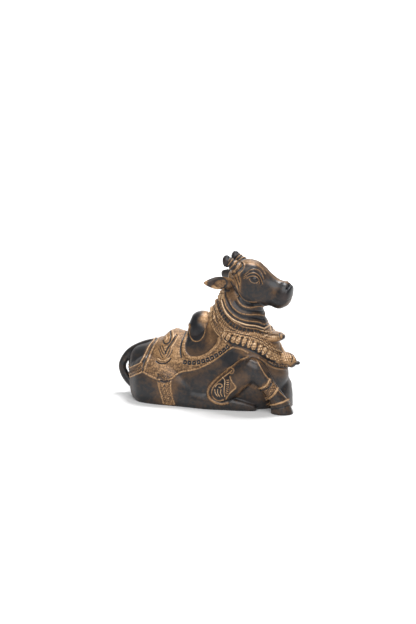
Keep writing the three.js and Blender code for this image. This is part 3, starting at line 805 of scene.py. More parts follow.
# The neck's folds and grooves from the necklace up to the jaw, each with how far its patina is rubbed.
NECK_FOLDS = [
    (0.86, [(221.3, 300), (223.8, 308), (227.8, 314.5), (233.3, 319.5), (240, 322.6), (247, 324.8),
            (256, 326), (264, 328.5)]),
    (0.56, [(223.6, 299), (226.3, 306.5), (230.8, 312.6), (237, 317.4), (244, 320.2), (252, 321.4),
            (258, 322), (264, 324.4)]),
    (0.5, [(229, 299), (232, 306), (237, 311), (243, 313.8), (250, 314.6), (258, 314.6), (263.5, 315.6)]),
    (0.54, [(236.4, 298), (240.4, 304), (245.4, 307), (251, 307.6), (256, 306.6), (261.5, 306)]),
]
NECK_GROOVES = [
    (0.24, [(219.6, 302), (222, 309), (226, 316), (231.5, 321.3), (238, 324.6), (246, 326.6), (256, 327.8),
            (264, 330.4)]),
    (0.16, [(222.5, 300), (225, 307.3), (229.4, 313.6), (235.4, 318.5), (242.4, 321.6), (251, 323.1),
            (258, 324), (264, 326.4)]),
    (0.08, [(232.6, 297), (236.4, 304.4), (241.4, 308.6), (247.6, 310.8), (255, 311), (262.5, 311)]),
    (0.12, [(238.6, 297), (242.4, 302.4), (247.4, 304.6), (253, 304.8), (261.5, 303.6)]),
]
DEEP_GROOVE = [(225.4, 285.5), (224.9, 291), (225.7, 297), (228.6, 304.8), (233.4, 311), (240, 315.6),
               (247.6, 317.2), (256, 317.8), (263.6, 319.6)]
BEHIND_CHEEK = [(225.6, 284), (232, 282), (235, 289), (237.6, 296), (236, 300.5), (231, 301.5),
                (227.6, 297.5), (226, 291)]
NAPE_STREAKS = [
    [(219.5, 289), (218.6, 295), (216.8, 301), (214, 307)],
    [(221.8, 289), (221, 296), (219, 302.5), (216.4, 309)],
]
NAPE = [(209, 322), (206.5, 310), (206, 296), (214, 283), (225.4, 282), (224.4, 286), (223.8, 291),
        (224.2, 297.5), (221, 300), (217.5, 302.5), (219, 310), (223, 317), (215, 318)]
JAW_LINE = [(236.5, 286), (239.8, 294.5), (244, 299.5), (249.5, 301.8), (256.5, 302)]
NECK_BEADS = [(217.8, 301), (219.4, 307.5), (222.3, 313.8), (227, 320), (232.5, 325), (239.5, 328.3),
              (246, 329.8), (252.5, 330.9), (258, 331.7), (263.5, 334)]
COLLAR_EDGE = [(226, 341.5), (221.5, 337.5), (218, 334), (214.5, 329.5), (211.8, 324), (210.3, 318),
               (209.8, 311)]
COLLAR_DOTS = [(221, 332.5), (217.3, 328.8), (214.6, 324), (212.9, 318), (212.3, 311)]
COLLAR_INNER = [(224, 330), (219, 325), (216.6, 319), (215.4, 311)]
ROPE = [(221, 331), (228, 331.8), (236, 333.2), (244, 335.2), (252, 337), (258, 339.2), (264, 342.7),
        (270, 347.5), (276, 351), (282, 353)]
GARLAND = [(222, 334), (230, 337.2), (240, 340.6), (250, 343.8), (260, 348.4), (267, 353), (271, 355.6)]
GARLAND_GAP = [(227, 340.5), (231, 342.6), (237, 345), (243, 347.4), (250, 350), (258, 353.2), (265, 357.4),
               (270, 360.4), (275, 361.6)]
LIP_END = [(281.4, 332), (284, 331), (288, 336), (285, 341), (281, 339.5), (282.6, 336)]
LIP_GROOVES = [
    [(280.6, 331.6), (279.4, 334.6), (280.4, 338.6)],
    [(262, 332.2), (268, 333.4), (274, 334.6), (279, 335.2)],
]
LIP_RIDGES = [
    [(261, 330.6), (266, 331.2), (272, 331.6), (278, 332.4)],
    [(264, 335), (270, 336.4), (276, 337)],
]
GREAT_BELL = [(270, 352), (280, 351), (293, 354), (296, 362), (290, 366), (276, 364), (268, 358)]
BELL_RIM = [(289.4, 352.6), (292.4, 356.6), (291.8, 361.6)]
BELL_STUDS = [(267.6, 361.4), (274, 364), (281, 365.6), (288, 366.2)]
LIP = [(262, 332), (272, 330), (286, 335), (283, 339.5), (272, 338), (264, 337)]
FRINGE_EDGE = [(230, 347.8), (237, 348.2), (243, 350), (248, 353)]
CHEST_EDGE = [(259, 358), (264, 361.5), (270, 366), (277, 368.5), (284, 369), (289, 369.2)]
CHEST_RINGS = [(268.5, 361.5), (274.5, 364.4), (281, 365.6), (288, 365.4)]
COLLAR = [(206, 309), (213, 300), (217.5, 298), (219, 304), (221, 311), (225.5, 318.5), (231, 323.5),
          (238, 328), (246, 330), (256, 332), (264, 330), (273, 334), (286, 335), (285, 340), (264, 337),
          (273, 344), (280, 350), (284, 352), (296, 356), (296, 362), (276, 361), (268, 358), (258, 352),
          (243, 345.5), (230, 340.5), (222, 336), (214, 330), (209, 322), (207, 312)]
CHEST = [(262, 358), (272, 362), (292, 362), (290, 370), (276, 370), (268, 366)]

U_BORDER = [(219, 338.5), (218.3, 342.5), (214, 348.5), (208, 353.8), (201, 357), (194, 358), (188, 356.5),
            (184.5, 352), (183.6, 346), (185.2, 339), (188, 332), (190, 326)]
U_GROOVE = [(181.2, 357), (180.5, 351), (181.2, 344), (184, 337), (186.5, 331), (188, 326)]
U_BEADS = [(229, 345.5), (224.5, 349.8), (219.5, 353.5), (213, 357.3), (206, 360.3), (198, 362.2),
           (190, 362.8), (182.5, 361.8)]
HUMP_LINE = [(189.5, 331), (190.5, 337), (194, 341), (199, 341), (203, 337), (205, 331), (205, 325)]
LOW_EDGE = [(233, 347.2), (228.5, 349.8), (221.5, 355), (214, 360.5), (206, 365), (198, 368.3), (190, 370.3),
            (182, 371.6), (176, 375), (171.5, 378.5), (164.5, 380.5), (158, 379), (152, 377), (146.5, 374),
            (142.2, 371)]
RUMP_OUTER = [(140.8, 362), (143.5, 357.5), (146.5, 351.5), (149.5, 345.5), (153.5, 340.5), (157, 335)]
RUMP_GROOVE = [(142.6, 371), (143.2, 366), (145.3, 360), (148.5, 353), (151.5, 346.5), (155.3, 340.5),
               (158, 335)]
RUMP_INNER = [(145, 370), (145.8, 366), (148, 359.5), (151, 352.5), (154, 346.3), (158, 340), (160.5, 335)]
CRUPPER_TOP = [(141.5, 362.5), (137, 364.8), (134, 366.1), (130.6, 367.8)]
CRUPPER_LOW = [(142, 372), (137, 374), (134, 375.4), (130.6, 376.8)]
CRUPPER_BEADS = [(142, 366.5), (137, 369.3), (131.5, 372)]
CRUPPER = [(142, 362), (132, 366.5), (126, 370), (127, 378.5), (133, 376.5), (142.5, 372.5)]
CLOTH = [(186, 321), (158, 321), (156, 334), (151.5, 346.5), (148.5, 353), (145.3, 360), (143.2, 366),
         (142.2, 371.5), (146.5, 374.3), (152, 377.5), (158, 379.6), (164.5, 381), (171.5, 379),
         (176, 375.4), (182, 372), (190, 370.6), (198, 368.6), (206, 365.3), (214, 360.8), (221.5, 355.3),
         (228.5, 350), (233, 347), (227, 341), (219, 338), (217, 344), (213, 349), (207, 353.5), (201, 356),
         (194, 357), (188.5, 355.5), (185.5, 351), (185, 346), (186.5, 339), (190, 326), (175, 322)]
CLOTH_LOW = [(146, 372), (147, 362), (143, 356), (148, 345), (153, 346), (156, 360), (172, 364), (184, 362),
             (196, 366), (178, 372), (170, 379), (158, 378)]
CLOTH_TOP = [(152, 338), (166, 324), (178, 322), (192, 326), (189, 334), (184, 346), (172, 349), (152, 348)]
MOTIF_LINES = [
    [(170.3, 331), (170.8, 336), (169.8, 341), (167, 343.8), (164, 343), (163, 340.3)],
    [(176.5, 334.5), (173, 340.5), (169.5, 345.5), (166.5, 350), (165, 353.5)],
    [(156, 361), (159.5, 363.3), (164, 363.4), (168, 361.8), (170.8, 358.5)],
]
FEATHERS = [
    [(160, 346), (161.5, 350.5), (164, 355)],
    [(162, 345.5), (163.7, 349.5), (166, 353.5)],
    [(158.8, 349), (160.2, 353.5), (162.5, 357.8)],
    [(170.5, 348), (168.5, 352.5), (166.5, 356.5)],
    [(172.5, 350), (170.5, 354), (168, 358)],
]
MOTIF_RIDGES = [
    [(172.5, 330.5), (173.3, 336), (171.8, 342), (168.5, 346), (164.5, 347.5)],
    [(178.5, 336), (175, 342), (171.5, 347), (168.5, 351)],
    [(166.5, 336), (166.8, 339), (165.4, 340.6)],
    [(157.5, 358.6), (161, 360.6), (165, 360.4), (168.3, 358.3)],
]
MOTIF_AREA = [(160, 332), (180, 332), (178, 344), (172, 362), (155, 364), (157, 344)]
ROSETTE = (164.3, 376.2)
STRAP_LINES = [
    [(157.8, 381), (159.3, 388), (161.3, 395), (163.2, 402.5)],
    [(170.8, 381), (170.6, 388), (171.8, 395), (174.2, 403.5)],
]
STRAP_GROOVES = [
    [(161.2, 386), (163, 393), (165.3, 402)],
    [(164.2, 386), (166, 393), (168, 402.5)],
    [(167.8, 385), (168.8, 393), (170.8, 403)],
]
STRAP = [(158, 379), (160, 390), (163, 404), (175, 405), (172, 394), (171, 379)]

LEAF_OUTER = [(247.5, 357.3), (240, 361.2), (232, 367.3), (224, 373.3), (216, 379.6), (210.3, 386),
              (208, 392), (209.5, 397.8), (214.3, 402), (221, 404), (227.5, 403)]
LEAF_INNER = [(231.8, 370.8), (224.5, 376.5), (217.5, 382.4), (213, 387.8), (211.8, 393.3), (214, 398.2),
              (218.8, 400.7), (223.6, 399.8)]
LEAF_SIDE = [(229.8, 376.5), (231.6, 381), (235.6, 387), (233.4, 390), (229, 394), (226, 399)]
LEAF_FIELD = [(231, 371), (224.5, 377.5), (218, 383.3), (214, 388.3), (212.9, 393.3), (215, 397.4),
              (219, 399.6), (223, 398.8), (226.5, 394), (230, 388), (230.5, 378)]
LEAF_SIDE_FIELD = [(228.5, 378), (231, 378), (232.5, 382), (236.5, 387.5), (230, 393), (225.5, 399),
                   (226, 388)]
LEAF_SCROLLS = [
    [(215.2, 386.8), (217.4, 384.2), (220.6, 384), (222, 386), (220.4, 387.8), (218.6, 387)],
    [(214.6, 389.4), (215.2, 393.2), (217.4, 396.4)],
    [(217.6, 389.6), (217.6, 393.2), (219.8, 397)],
    [(220.8, 389.8), (220.4, 393), (222, 396.4)],
    [(223, 377.6), (224.6, 380.6), (224.4, 386), (224, 392), (224.8, 396.5)],
]
LEAF_BUD = [(226.4, 373), (229, 369.4), (232, 368.2), (234, 370.4), (232.4, 373.4), (230, 373)]
LADDER = [(227.4, 379), (227.6, 384), (227.4, 389), (226.6, 394)]
KNEE_LINE = [(257, 360.5), (260.5, 367), (264.5, 374), (268.8, 379.2), (275, 387), (282, 394.6), (288, 400.6),
             (291, 405)]
FOREARM_EDGE = [(237, 396), (240, 391), (244.5, 387), (250, 385), (256, 387)]
ANKLET_LINES = [
    [(259, 388.4), (263.5, 387.2), (267.4, 384), (269.6, 379.3)],
    [(266.5, 399.5), (271, 397), (275.4, 392.4), (277.8, 388)],
]
ANKLET_GROOVE = [(260.6, 390.6), (265.6, 389.2), (270.2, 385.8), (272.4, 381)]
ANKLET = [(259, 387), (267, 383), (270, 378), (279, 388), (276, 394), (267.5, 401)]
FETLOCK = [(269, 405.2), (275, 404.4), (282, 402.5), (288.8, 399.3)]
HOOF_LINE = [(270, 409), (277, 408.5), (284, 407), (290, 404)]

EYE_RIDGES = [
    [(248.2, 271.3), (251, 269.8), (254.5, 269.3), (258, 270), (260.6, 272), (262.6, 275.5), (263.6, 278.8)],
    [(243.8, 277), (247, 275), (250, 273.4), (254, 273), (257.6, 274.5), (260.1, 277.5), (261.7, 280.8),
     (262.6, 284)],
    [(246.4, 279), (249, 276.8), (252, 276.1), (255, 276.3), (257.6, 278), (259.5, 280.8), (259.3, 283.8)],
    [(249.3, 279.2), (250.8, 281.6), (253.6, 283.1), (256.8, 282.8), (258.6, 281)],
]
EYE_GROOVES = [
    [(246.2, 275.2), (249, 272.9), (252.4, 271.6), (256.4, 271.8), (259.4, 274), (261.6, 277.4),
     (262.9, 281)],
    [(247.4, 276.7), (250, 275.1), (253, 274.5), (256, 275), (258.5, 277), (260.2, 280.4), (261.2, 283.5)],
    [(250.3, 277.9), (253, 277.3), (256, 278.2), (257.6, 280)],
]
LASHES = [
    [(244.6, 274.8), (246.4, 273.3), (248.4, 272.2)],
    [(243.8, 278.6), (245.6, 277.6), (247.6, 276.6)],
]
PUPIL = (253.4, 280.1)
TEAR_DOTS = [(257.2, 286), (260.4, 284.4), (261.6, 286.6), (256, 288)]
CHEEK_PATCH = [(231, 270), (239.6, 271), (241, 280), (240.5, 293), (237, 288), (232, 280.5), (225, 277.5)]
CHEEK_GROOVES = [
    [(230.5, 281.5), (233.8, 287.5), (238, 294.5)],
    [(232.5, 271.5), (235, 277), (237.5, 283), (239, 289)],
    [(236, 271), (238, 276.5), (239.4, 282)],
]
FOREHEAD_LINES = [
    [(246, 262.2), (252, 262.8), (257.5, 265), (262, 268.8), (265.5, 274)],
    [(250, 259.8), (256, 260.8), (261, 263.8), (264.8, 268)],
]
POLL_PATCH = [(233, 262), (236, 258), (240, 252), (250, 256), (262, 257), (268, 264), (268, 270), (264, 270),
              (259, 266.5), (252, 264.6), (246, 264), (242, 268), (238, 270)]
NOSTRIL = [(289.4, 285.6), (288.6, 287.4), (287, 288.8)]
NOSTRIL_RIM = [(290.6, 284.2), (286, 282.6), (281.6, 283.4)]
MOUTH = [(291.5, 298.5), (286, 300.6), (280, 300.4), (275, 298.4)]
EAR_HOLLOW = [(213, 284), (216, 280.6), (220, 279.2), (224.5, 279.6), (226.6, 282.4), (225, 286),
              (221, 288.2), (216.6, 287.6)]
EAR_RIM = [(213.4, 284.2), (216, 280.8), (220, 279), (224.8, 279.2), (227, 282.4), (225.4, 286.4),
           (221, 288.8)]
EAR_ROOT = [(222, 275.5), (228, 275), (232, 278), (230, 283), (227.4, 280.4), (224, 278)]
EAR_TIP = [(202, 279), (207.5, 279), (207, 285.5), (202, 285)]
# The places of the horns' rings along their stations, each second one a groove.
HORN_RINGS = np.arange(0.25, 2.5, 0.27)
# The crest from the brow to the nose: its ends' X, and how many places it runs through.
CREST = (34, 96, 60)


def carve_neck(relief, skin):
    """Folds of skin, which leave the nape and the cheek's back smooth, the bead necklace, and the collar."""
    relief.paint(COLLAR, 0.85, 0.62)
    bare = relief.height.copy(), relief.rubbed.copy()
    for rub, line in NECK_GROOVES:
        relief.groove(skin.around(line), 1.3, 0.9, rub, 0.9)
    for rub, line in NECK_FOLDS:
        relief.ridge(skin.around(line), 0.95, 0.8, rub)
    for smooth, rub in ((NAPE, 0.8), (BEHIND_CHEEK, 0.42)):
        inside = relief.inside(smooth)
        relief.height += inside * (bare[0] - relief.height)
        relief.rubbed += inside * (bare[1] - relief.rubbed)
        relief.paint(smooth, 0.8, rub)
    relief.groove(skin.both(DEEP_GROOVE), 1.5, 1.1, 0.03)
    relief.groove(skin.both(*NAPE_STREAKS), 0.8, 0.3, 0.3, 0.7)
    relief.ridge(skin.both(JAW_LINE), 0.8, 0.4, 0.55)
    beads = skin.around(NECK_BEADS)
    relief.band(beads, 2.9, -0.4, 0.62)
    relief.rails(beads, 3.4, 0.9, 0.6, 0.64)
    relief.beads(skin.both(NECK_BEADS), 4.3, 1.8, 2.3, 1.6, 2.4, 0.0, 0.66)
    relief.ridge(skin.over(COLLAR_EDGE), 1.4, 0.8, 0.66)
    relief.groove(skin.over(COLLAR_INNER), 1.1, 0.5, 0.3)
    relief.beads(skin.both(COLLAR_DOTS), 2.6, 0.8, 0.9, 0.5, 2, 0.1, 0.5)


def carve_chest(relief, skin):
    """The necklace's lip, the great bell, the garland of bells under its rope, and the chest's fringe."""
    relief.paint(CHEST, 0.8, 0.44)
    relief.paint(LIP, 0.85, 0.66)
    relief.paint(LIP_END, 0.9, 0.1)
    relief.groove(skin.both(*LIP_GROOVES), 0.9, 0.6, 0.1)
    # The lip's carved ridges are painted near light tan, partly wear and partly a painted highlight along
    # them.
    relief.ridge(skin.both(*LIP_RIDGES), 0.9, 0.5, 0.86)
    relief.paint(GREAT_BELL, 0.7, 0.7)
    relief.groove(skin.both(BELL_RIM), 1.0, 0.5, 0.1)
    relief.beads(skin.both(BELL_STUDS), 4.6, 1.7, 1.8, 1.3, 2, 0.74, 0.14, 0.9)
    # The groove under the bells is painted near black, partly the groove's patina and partly painted shade
    # beneath the hanging bells; the bells' last value, 0.04, is their painted shade.
    relief.groove(skin.both(GARLAND_GAP), 1.5, 1.1, 0.02)
    relief.bells(skin.both(GARLAND), 6.4, 5.8, 1.4, 0.66, 0.04)
    rope = skin.over(ROPE)
    relief.rails(rope, 1.2, 0.9, 0.5, 0.66)
    relief.groove(rope, 0.6, 0.3, 0.35, 0.7)
    relief.uneven(relief.inside(COLLAR), 0.22, 0.09)
    relief.ridge(skin.both(FRINGE_EDGE), 1.3, 0.6, 0.52)
    relief.ridge(skin.both(CHEST_EDGE), 1.6, 0.8, 0.46)
    relief.beads(skin.both(CHEST_RINGS), 3.4, 1.5, 1.7, 0.9, 2, 0.45, 0.16, 0.7)


def carve_cloth(relief, skin):
    """The saddle cloth, its borders, beads and motif, the crupper, and the strap with its rosette."""
    cloth = relief.inside(CLOTH)
    relief.rub(slice(None), 0.9 * cloth, 0.7)
    relief.beaded = np.maximum(relief.beaded, cloth)
    # The cloth's top is painted darker where the overhead softbox lights it most: painted shade.
    relief.paint(CLOTH_TOP, 0.6, 0.56)
    relief.paint(CLOTH_LOW, 0.7, 0.52)
    crupper = skin.to_tail(CRUPPER_BEADS)
    relief.ridge(crupper, 5.0, 0.0, 0.6, 0.85)
    relief.paint(STRAP, 0.85, 0.62)
    relief.beaded *= 1 - 0.75 * relief.inside(MOTIF_AREA)
    relief.groove(skin.over(U_GROOVE), 1.3, 0.8, 0.05)
    relief.band(skin.over(U_BORDER), 2.5, 0.9, 0.6, 0.6)
    beads = skin.both(U_BEADS)
    relief.beads(beads, 5.6, 2.65, 2.9, -1.0, 3, 0.0, 0.55)
    relief.beads(beads, 5.6, 0.95, 1.0, 0.9, 2, 0.6, None)
    relief.rails(beads, 3.0, 0.8, 0.6, 0.52)
    relief.ridge(skin.both(LOW_EDGE), 1.5, 1.0, 0.58)
    relief.ridge(skin.over(RUMP_OUTER), 1.4, 0.9, 0.68)
    relief.ridge(skin.over(RUMP_INNER), 1.3, 0.7, 0.66)
    relief.groove(skin.over(RUMP_GROOVE), 1.1, 0.9, 0.05)
    relief.ridge(skin.both(HUMP_LINE), 0.9, 0.4, 0.62)
    relief.ridge(skin.to_tail(CRUPPER_TOP, CRUPPER_LOW), 1.2, 0.8, 0.66)
    relief.beads(crupper, 3.7, 1.5, 1.7, 0.9, 2, 0.06, 0.62, 0.6)
    relief.ridge(skin.both(*MOTIF_RIDGES), 1.1, 0.8, 0.7)
    relief.groove(skin.both(*MOTIF_LINES), 1.05, 0.9, 0.03)
    relief.groove(skin.both(*FEATHERS), 0.7, 0.6, 0.12)
    relief.ridge(skin.both(*STRAP_LINES), 1.4, 0.9, 0.56)
    relief.beads(skin.both(*STRAP_GROOVES), 3.0, 0.9, 1.0, 0.5, 2, 0.12, 0.62, 0.8)
    relief.uneven(np.maximum(relief.inside(STRAP), relief.inside(CRUPPER)), 0.12, 0.1)
    rosette(relief, skin)


def rosette(relief, skin):
    """A ringed boss over a dark bow, where the strap leaves the cloth."""
    x, y = ROSETTE
    relief.band(skin.both([(x - 4.5, y), (x, y), (x + 4.5, y)]), 4.0, 0.2, 0.34)
    spot_at(relief, skin, ROSETTE, 3.7, 1.6, 0.6)
    spot_at(relief, skin, ROSETTE, 2.5, -1.2, 0.04)
    spot_at(relief, skin, ROSETTE, 1.2, 1.0, 0.55)
    relief.groove(skin.both([(x - 3, y + 4.6), (x, y + 5.6), (x + 3, y + 4.8)]), 1.8, 0.8, 0.03)
    for dx, dy in ((-6.4, -2.2), (-7, 2), (-6, 5), (5.4, 4.6), (0.4, 9.6)):
        spot_at(relief, skin, (x + dx, y + dy), 1.2, -0.6, 0.06)


def carve_legs(relief, skin):
    """The leaf on the elbow with its scrolls, the anklet, and the raised foreleg's and hoof's lines."""
    relief.paint(LEAF_FIELD, 0.85, 0.12)
    relief.paint(LEAF_SIDE_FIELD, 0.8, 0.55)
    relief.height -= 0.5 * relief.inside(LEAF_FIELD)
    relief.ridge(skin.both(LEAF_OUTER[:6]), 3.4, 0.5, 0.5)
    relief.ridge(skin.both(LEAF_OUTER), 2.1, 1.1, 0.52)
    relief.ridge(skin.both(LEAF_BUD), 1.0, 0.8, 0.54)
    relief.ridge(skin.both(LEAF_INNER), 1.1, 0.8, 0.6)
    relief.ridge(skin.both(LEAF_SIDE), 1.2, 0.8, 0.6)
    relief.ridge(skin.both(*LEAF_SCROLLS), 0.75, 0.8, 0.72)
    relief.beads(skin.both(LADDER), 2.8, 0.8, 2.0, 0.8, 4, 0.62, 0.08)
    # A carved ridge down the raised foreleg's front edge, its light tan partly a painted highlight along that
    # edge.
    relief.ridge(skin.one(KNEE_LINE), 0.8, 0.6, 0.56)
    relief.ridge(skin.one(FOREARM_EDGE), 3.2, 0.3, 0.42)
    relief.paint(ANKLET, 0.8, 0.46)
    relief.uneven(relief.inside(ANKLET), 0.2, 0.16)
    relief.ridge(skin.one(*ANKLET_LINES), 1.7, 1.2, 0.62)
    relief.groove(skin.one(ANKLET_GROOVE), 1.0, 0.8, 0.04)
    relief.ridge(skin.one(FETLOCK), 1.4, 0.9, 0.64)
    relief.groove(skin.one(HOOF_LINE), 0.9, 0.4, 0.15)


def carve_head(relief, skin):
    """The eyes, the lines of the cheek, forehead, nose and mouth, the horns' roots and the ears."""
    relief.paint(POLL_PATCH, 0.8, 0.64)
    relief.paint(CHEEK_PATCH, 0.8, 0.7, -0.2)
    relief.groove(skin.both(*CHEEK_GROOVES), 0.9, 0.5, 0.14)
    relief.groove(skin.both(*EYE_GROOVES), 0.8, 0.7, 0.0)
    relief.ridge(skin.both(*EYE_RIDGES), 0.6, 0.7, 0.5)
    relief.ridge(skin.both(*LASHES), 0.7, 0.4, 0.45)
    spot_at(relief, skin, PUPIL, 1.6, 0.3, 0.08)
    for place in TEAR_DOTS:
        spot_at(relief, skin, place, 0.8, -0.35, 0.08)
    relief.ridge(skin.both(*FOREHEAD_LINES), 0.8, 0.4, 0.5)
    relief.groove(skin.both(NOSTRIL), 1.6, 2.0, 0.0)
    relief.ridge(skin.both(NOSTRIL_RIM), 1.5, 0.5)
    relief.groove(skin.both(MOUTH), 1.0, 0.35, 0.16, 0.6)
    relief.height -= 1.0 * relief.inside(EAR_HOLLOW)
    relief.rub(relief.within(EAR_HOLLOW), 1.0, 0.54)
    relief.paint(EAR_ROOT, 0.9, 0.56)
    relief.groove(skin.both(EAR_RIM), 1.0, 0.3, 0.1)
    relief.paint(EAR_TIP, 1.0, 0.6)
    for side in SIDES:
        for i, place in enumerate(HORN_RINGS):
            ring = skin.ring(horn(side), place)
            if i % 2:
                relief.groove(ring, 1.0, 0.5, 0.1)
            else:
                relief.ridge(ring, 0.8, 0.5, 0.54)
        tip, radii = horn_tip(side)
        far = np.linalg.norm((relief.places - tip) / radii, axis=1)
        relief.rub(slice(None), plateau(far / 1.15, 0.1), 0.1)
    crest = skin.crest(*CREST)
    relief.band(crest, 3.6, 0.3, 0.4)
    relief.rails(crest, 3.4, 0.8, 0.3, 0.42)


def spot_at(relief, skin, pixel, radius, height, rub):
    """A spot at a place in the photograph and at the same place on the left side."""
    x, y = pixel
    for line in skin.both([(x - 0.6, y), (x, y), (x + 0.6, y)]):
        middle = len(line.points) // 2
        relief.spot(line.points[middle], line.normal[middle], radius, height, rub)


# The voxels' size in mm and the smoothing passes of the first skin, round the big forms, and of the last.
VOXEL_FORM = 0.9
VOXEL_SKIN = 0.55
SOFTEN_FORM = 6
SOFTEN_SKIN = 3

# The part of the flank that is rounded off before it is carved, in the photograph's pixels, and in how many
# passes.
FLANK = [(168, 376), (182, 373), (196, 379), (206, 386), (205, 399), (176, 402), (166, 392)]
FLANK_PASSES = 90

# How far rubbed carving lightens the dark skin beside it, and over how many passes.
SPILL = 0.35
SPILL_PASSES = 60

# Hollows keep their patina and ridges lose it: how many passes even out the skin that they are measured from,
# the depth in mm that counts in full, and how much each changes how far the patina is rubbed.
HOLLOW_PASSES = 30
HOLLOW_DEPTH = 0.4
HOLLOW_DARKENS = 0.5
RIDGE_LIGHTENS = 0.12

# Above this value the patina counts as rubbed.
TANNED = 0.4

# The names of what is kept on each vertex for the patina, which in places also holds painted highlights and
# painted shade.
RUBBED = "rubbed"
BEADED = "beaded"


def rounded_off(obj, outline, passes):
    """Rounds off the forms inside an outline in the photograph, on both sides of the bull."""
    relief = Relief(obj.data)
    share = relief.inside(outline)[:, None]
    places = relief.places + share * (relief.rounded(relief.places, passes) - relief.places)
    placed(obj, places)


def placed(obj, places):
    """Moves the object's vertices to places in mm."""
    obj.data.vertices.foreach_set("co", (places * MM).ravel())
    obj.data.update()


def carve(obj, strength):
    """Carves the bull's skin, and keeps on each vertex how rubbed its patina and how beaded its ground is."""
    rounded_off(obj, FLANK, FLANK_PASSES)
    relief = Relief(obj.data)
    skin = Skin(obj)
    for value, outline in HAZES_AND_PAINTED_LIGHT:
        relief.rub(relief.within(outline), 1.0, value)
    relief.rubbed = relief.blurred(relief.rubbed, HAZE_AND_PAINTED_LIGHT_PASSES)
    for carving in (carve_neck, carve_chest, carve_cloth, carve_legs, carve_head):
        carving(relief, skin)
    relief.height *= strength
    rubbed = relief.rubbed
    spill = relief.blurred(rubbed, SPILL_PASSES) - relief.PLAIN
    rubbed = rubbed + SPILL * np.clip(spill, 0, 1) * (rubbed < TANNED)
    depth = relief.hollow(HOLLOW_PASSES) / HOLLOW_DEPTH
    rubbed = rubbed - np.clip(depth, 0, 1) * HOLLOW_DARKENS * rubbed
    rubbed = rubbed + np.clip(-depth, 0, 1) * RIDGE_LIGHTENS * (rubbed > TANNED)
    placed(obj, relief.moved())
    for name, values in ((RUBBED, rubbed), (BEADED, relief.beaded)):
        kept = obj.data.attributes.new(name, "FLOAT", "POINT")
        kept.data.foreach_set("value", np.clip(values, 0, 1).astype(np.float32))


def thinned(obj, triangles):
    """The object with its mesh in about so many triangles."""
    thin = obj.modifiers.new("Thin", "DECIMATE")
    thin.ratio = triangles / sum(len(face.vertices) - 2 for face in obj.data.polygons)
    return settled(obj)


def node(tree, kind, place, **settings):
    """A new node at a place in the tree, with its settings."""
    made = tree.nodes.new(kind)
    made.location = place
    for name, value in settings.items():
        setattr(made, name, value)
    return made


def kept_value(tree, place, name):
    """A value that is kept on the mesh's vertices."""
    made = node(tree, "ShaderNodeAttribute", place, attribute_type="GEOMETRY", attribute_name=name)
    return made.outputs["Fac"]


def noise(tree, place, coordinates, scale, detail, roughness=0.55):
    """A noise texture on the object's own coordinates, its scale per metre."""
    made = node(tree, "ShaderNodeTexNoise", place)
    made.inputs["Scale"].default_value = scale
    made.inputs["Detail"].default_value = detail
    made.inputs["Roughness"].default_value = roughness
    tree.links.new(coordinates, made.inputs["Vector"])
    return made.outputs["Fac"]


def sum_of(tree, place, value, amount, plus, clamp=False):
    """value times amount, plus something."""
    made = node(tree, "ShaderNodeMath", place, operation="MULTIPLY_ADD", use_clamp=clamp)
    tree.links.new(value, made.inputs[0])
    made.inputs[1].default_value = amount
    if isinstance(plus, float):
        made.inputs[2].default_value = plus
    else:
        tree.links.new(plus, made.inputs[2])
    return made.outputs[0]


def product(tree, place, first, second):
    """One value times another."""
    made = node(tree, "ShaderNodeMath", place, operation="MULTIPLY")
    tree.links.new(first, made.inputs[0])
    tree.links.new(second, made.inputs[1])
    return made.outputs[0]


def spread(tree, place, value, lowest, highest, to_lowest, to_highest):
    """A value mapped from one range to another."""
    made = node(tree, "ShaderNodeMapRange", place)
    tree.links.new(value, made.inputs["Value"])
    made.inputs["From Min"].default_value = lowest
    made.inputs["From Max"].default_value = highest
    made.inputs["To Min"].default_value = to_lowest
    made.inputs["To Max"].default_value = to_highest
    return made.outputs["Result"]


def ramp_of(tree, place, value, colours):
    """A colour ramp over a value, from each stop's place and colour."""
    made = node(tree, "ShaderNodeValToRGB", place)
    stops = made.color_ramp.elements
    while len(stops) < len(colours):
        stops.new(0.5)
    for stop, (at, colour) in zip(stops, colours):
        stop.position = at
        stop.color = (*colour, 1)
    tree.links.new(value, made.inputs["Fac"])
    return made.outputs["Color"]


# How many of each noise's features there are to a metre.
CLOUDS = 45
MOTTLES = 260
PITS = 800
GRIT = 1500
# A bead of the cloth's ground from its middle to its edge, as shares of the pitch, each with how light it is.
BEAD_RINGS = ((0.04, 0.1), (0.16, 0.45), (0.3, 1.0), (0.42, 0.7), (0.58, 0.0))


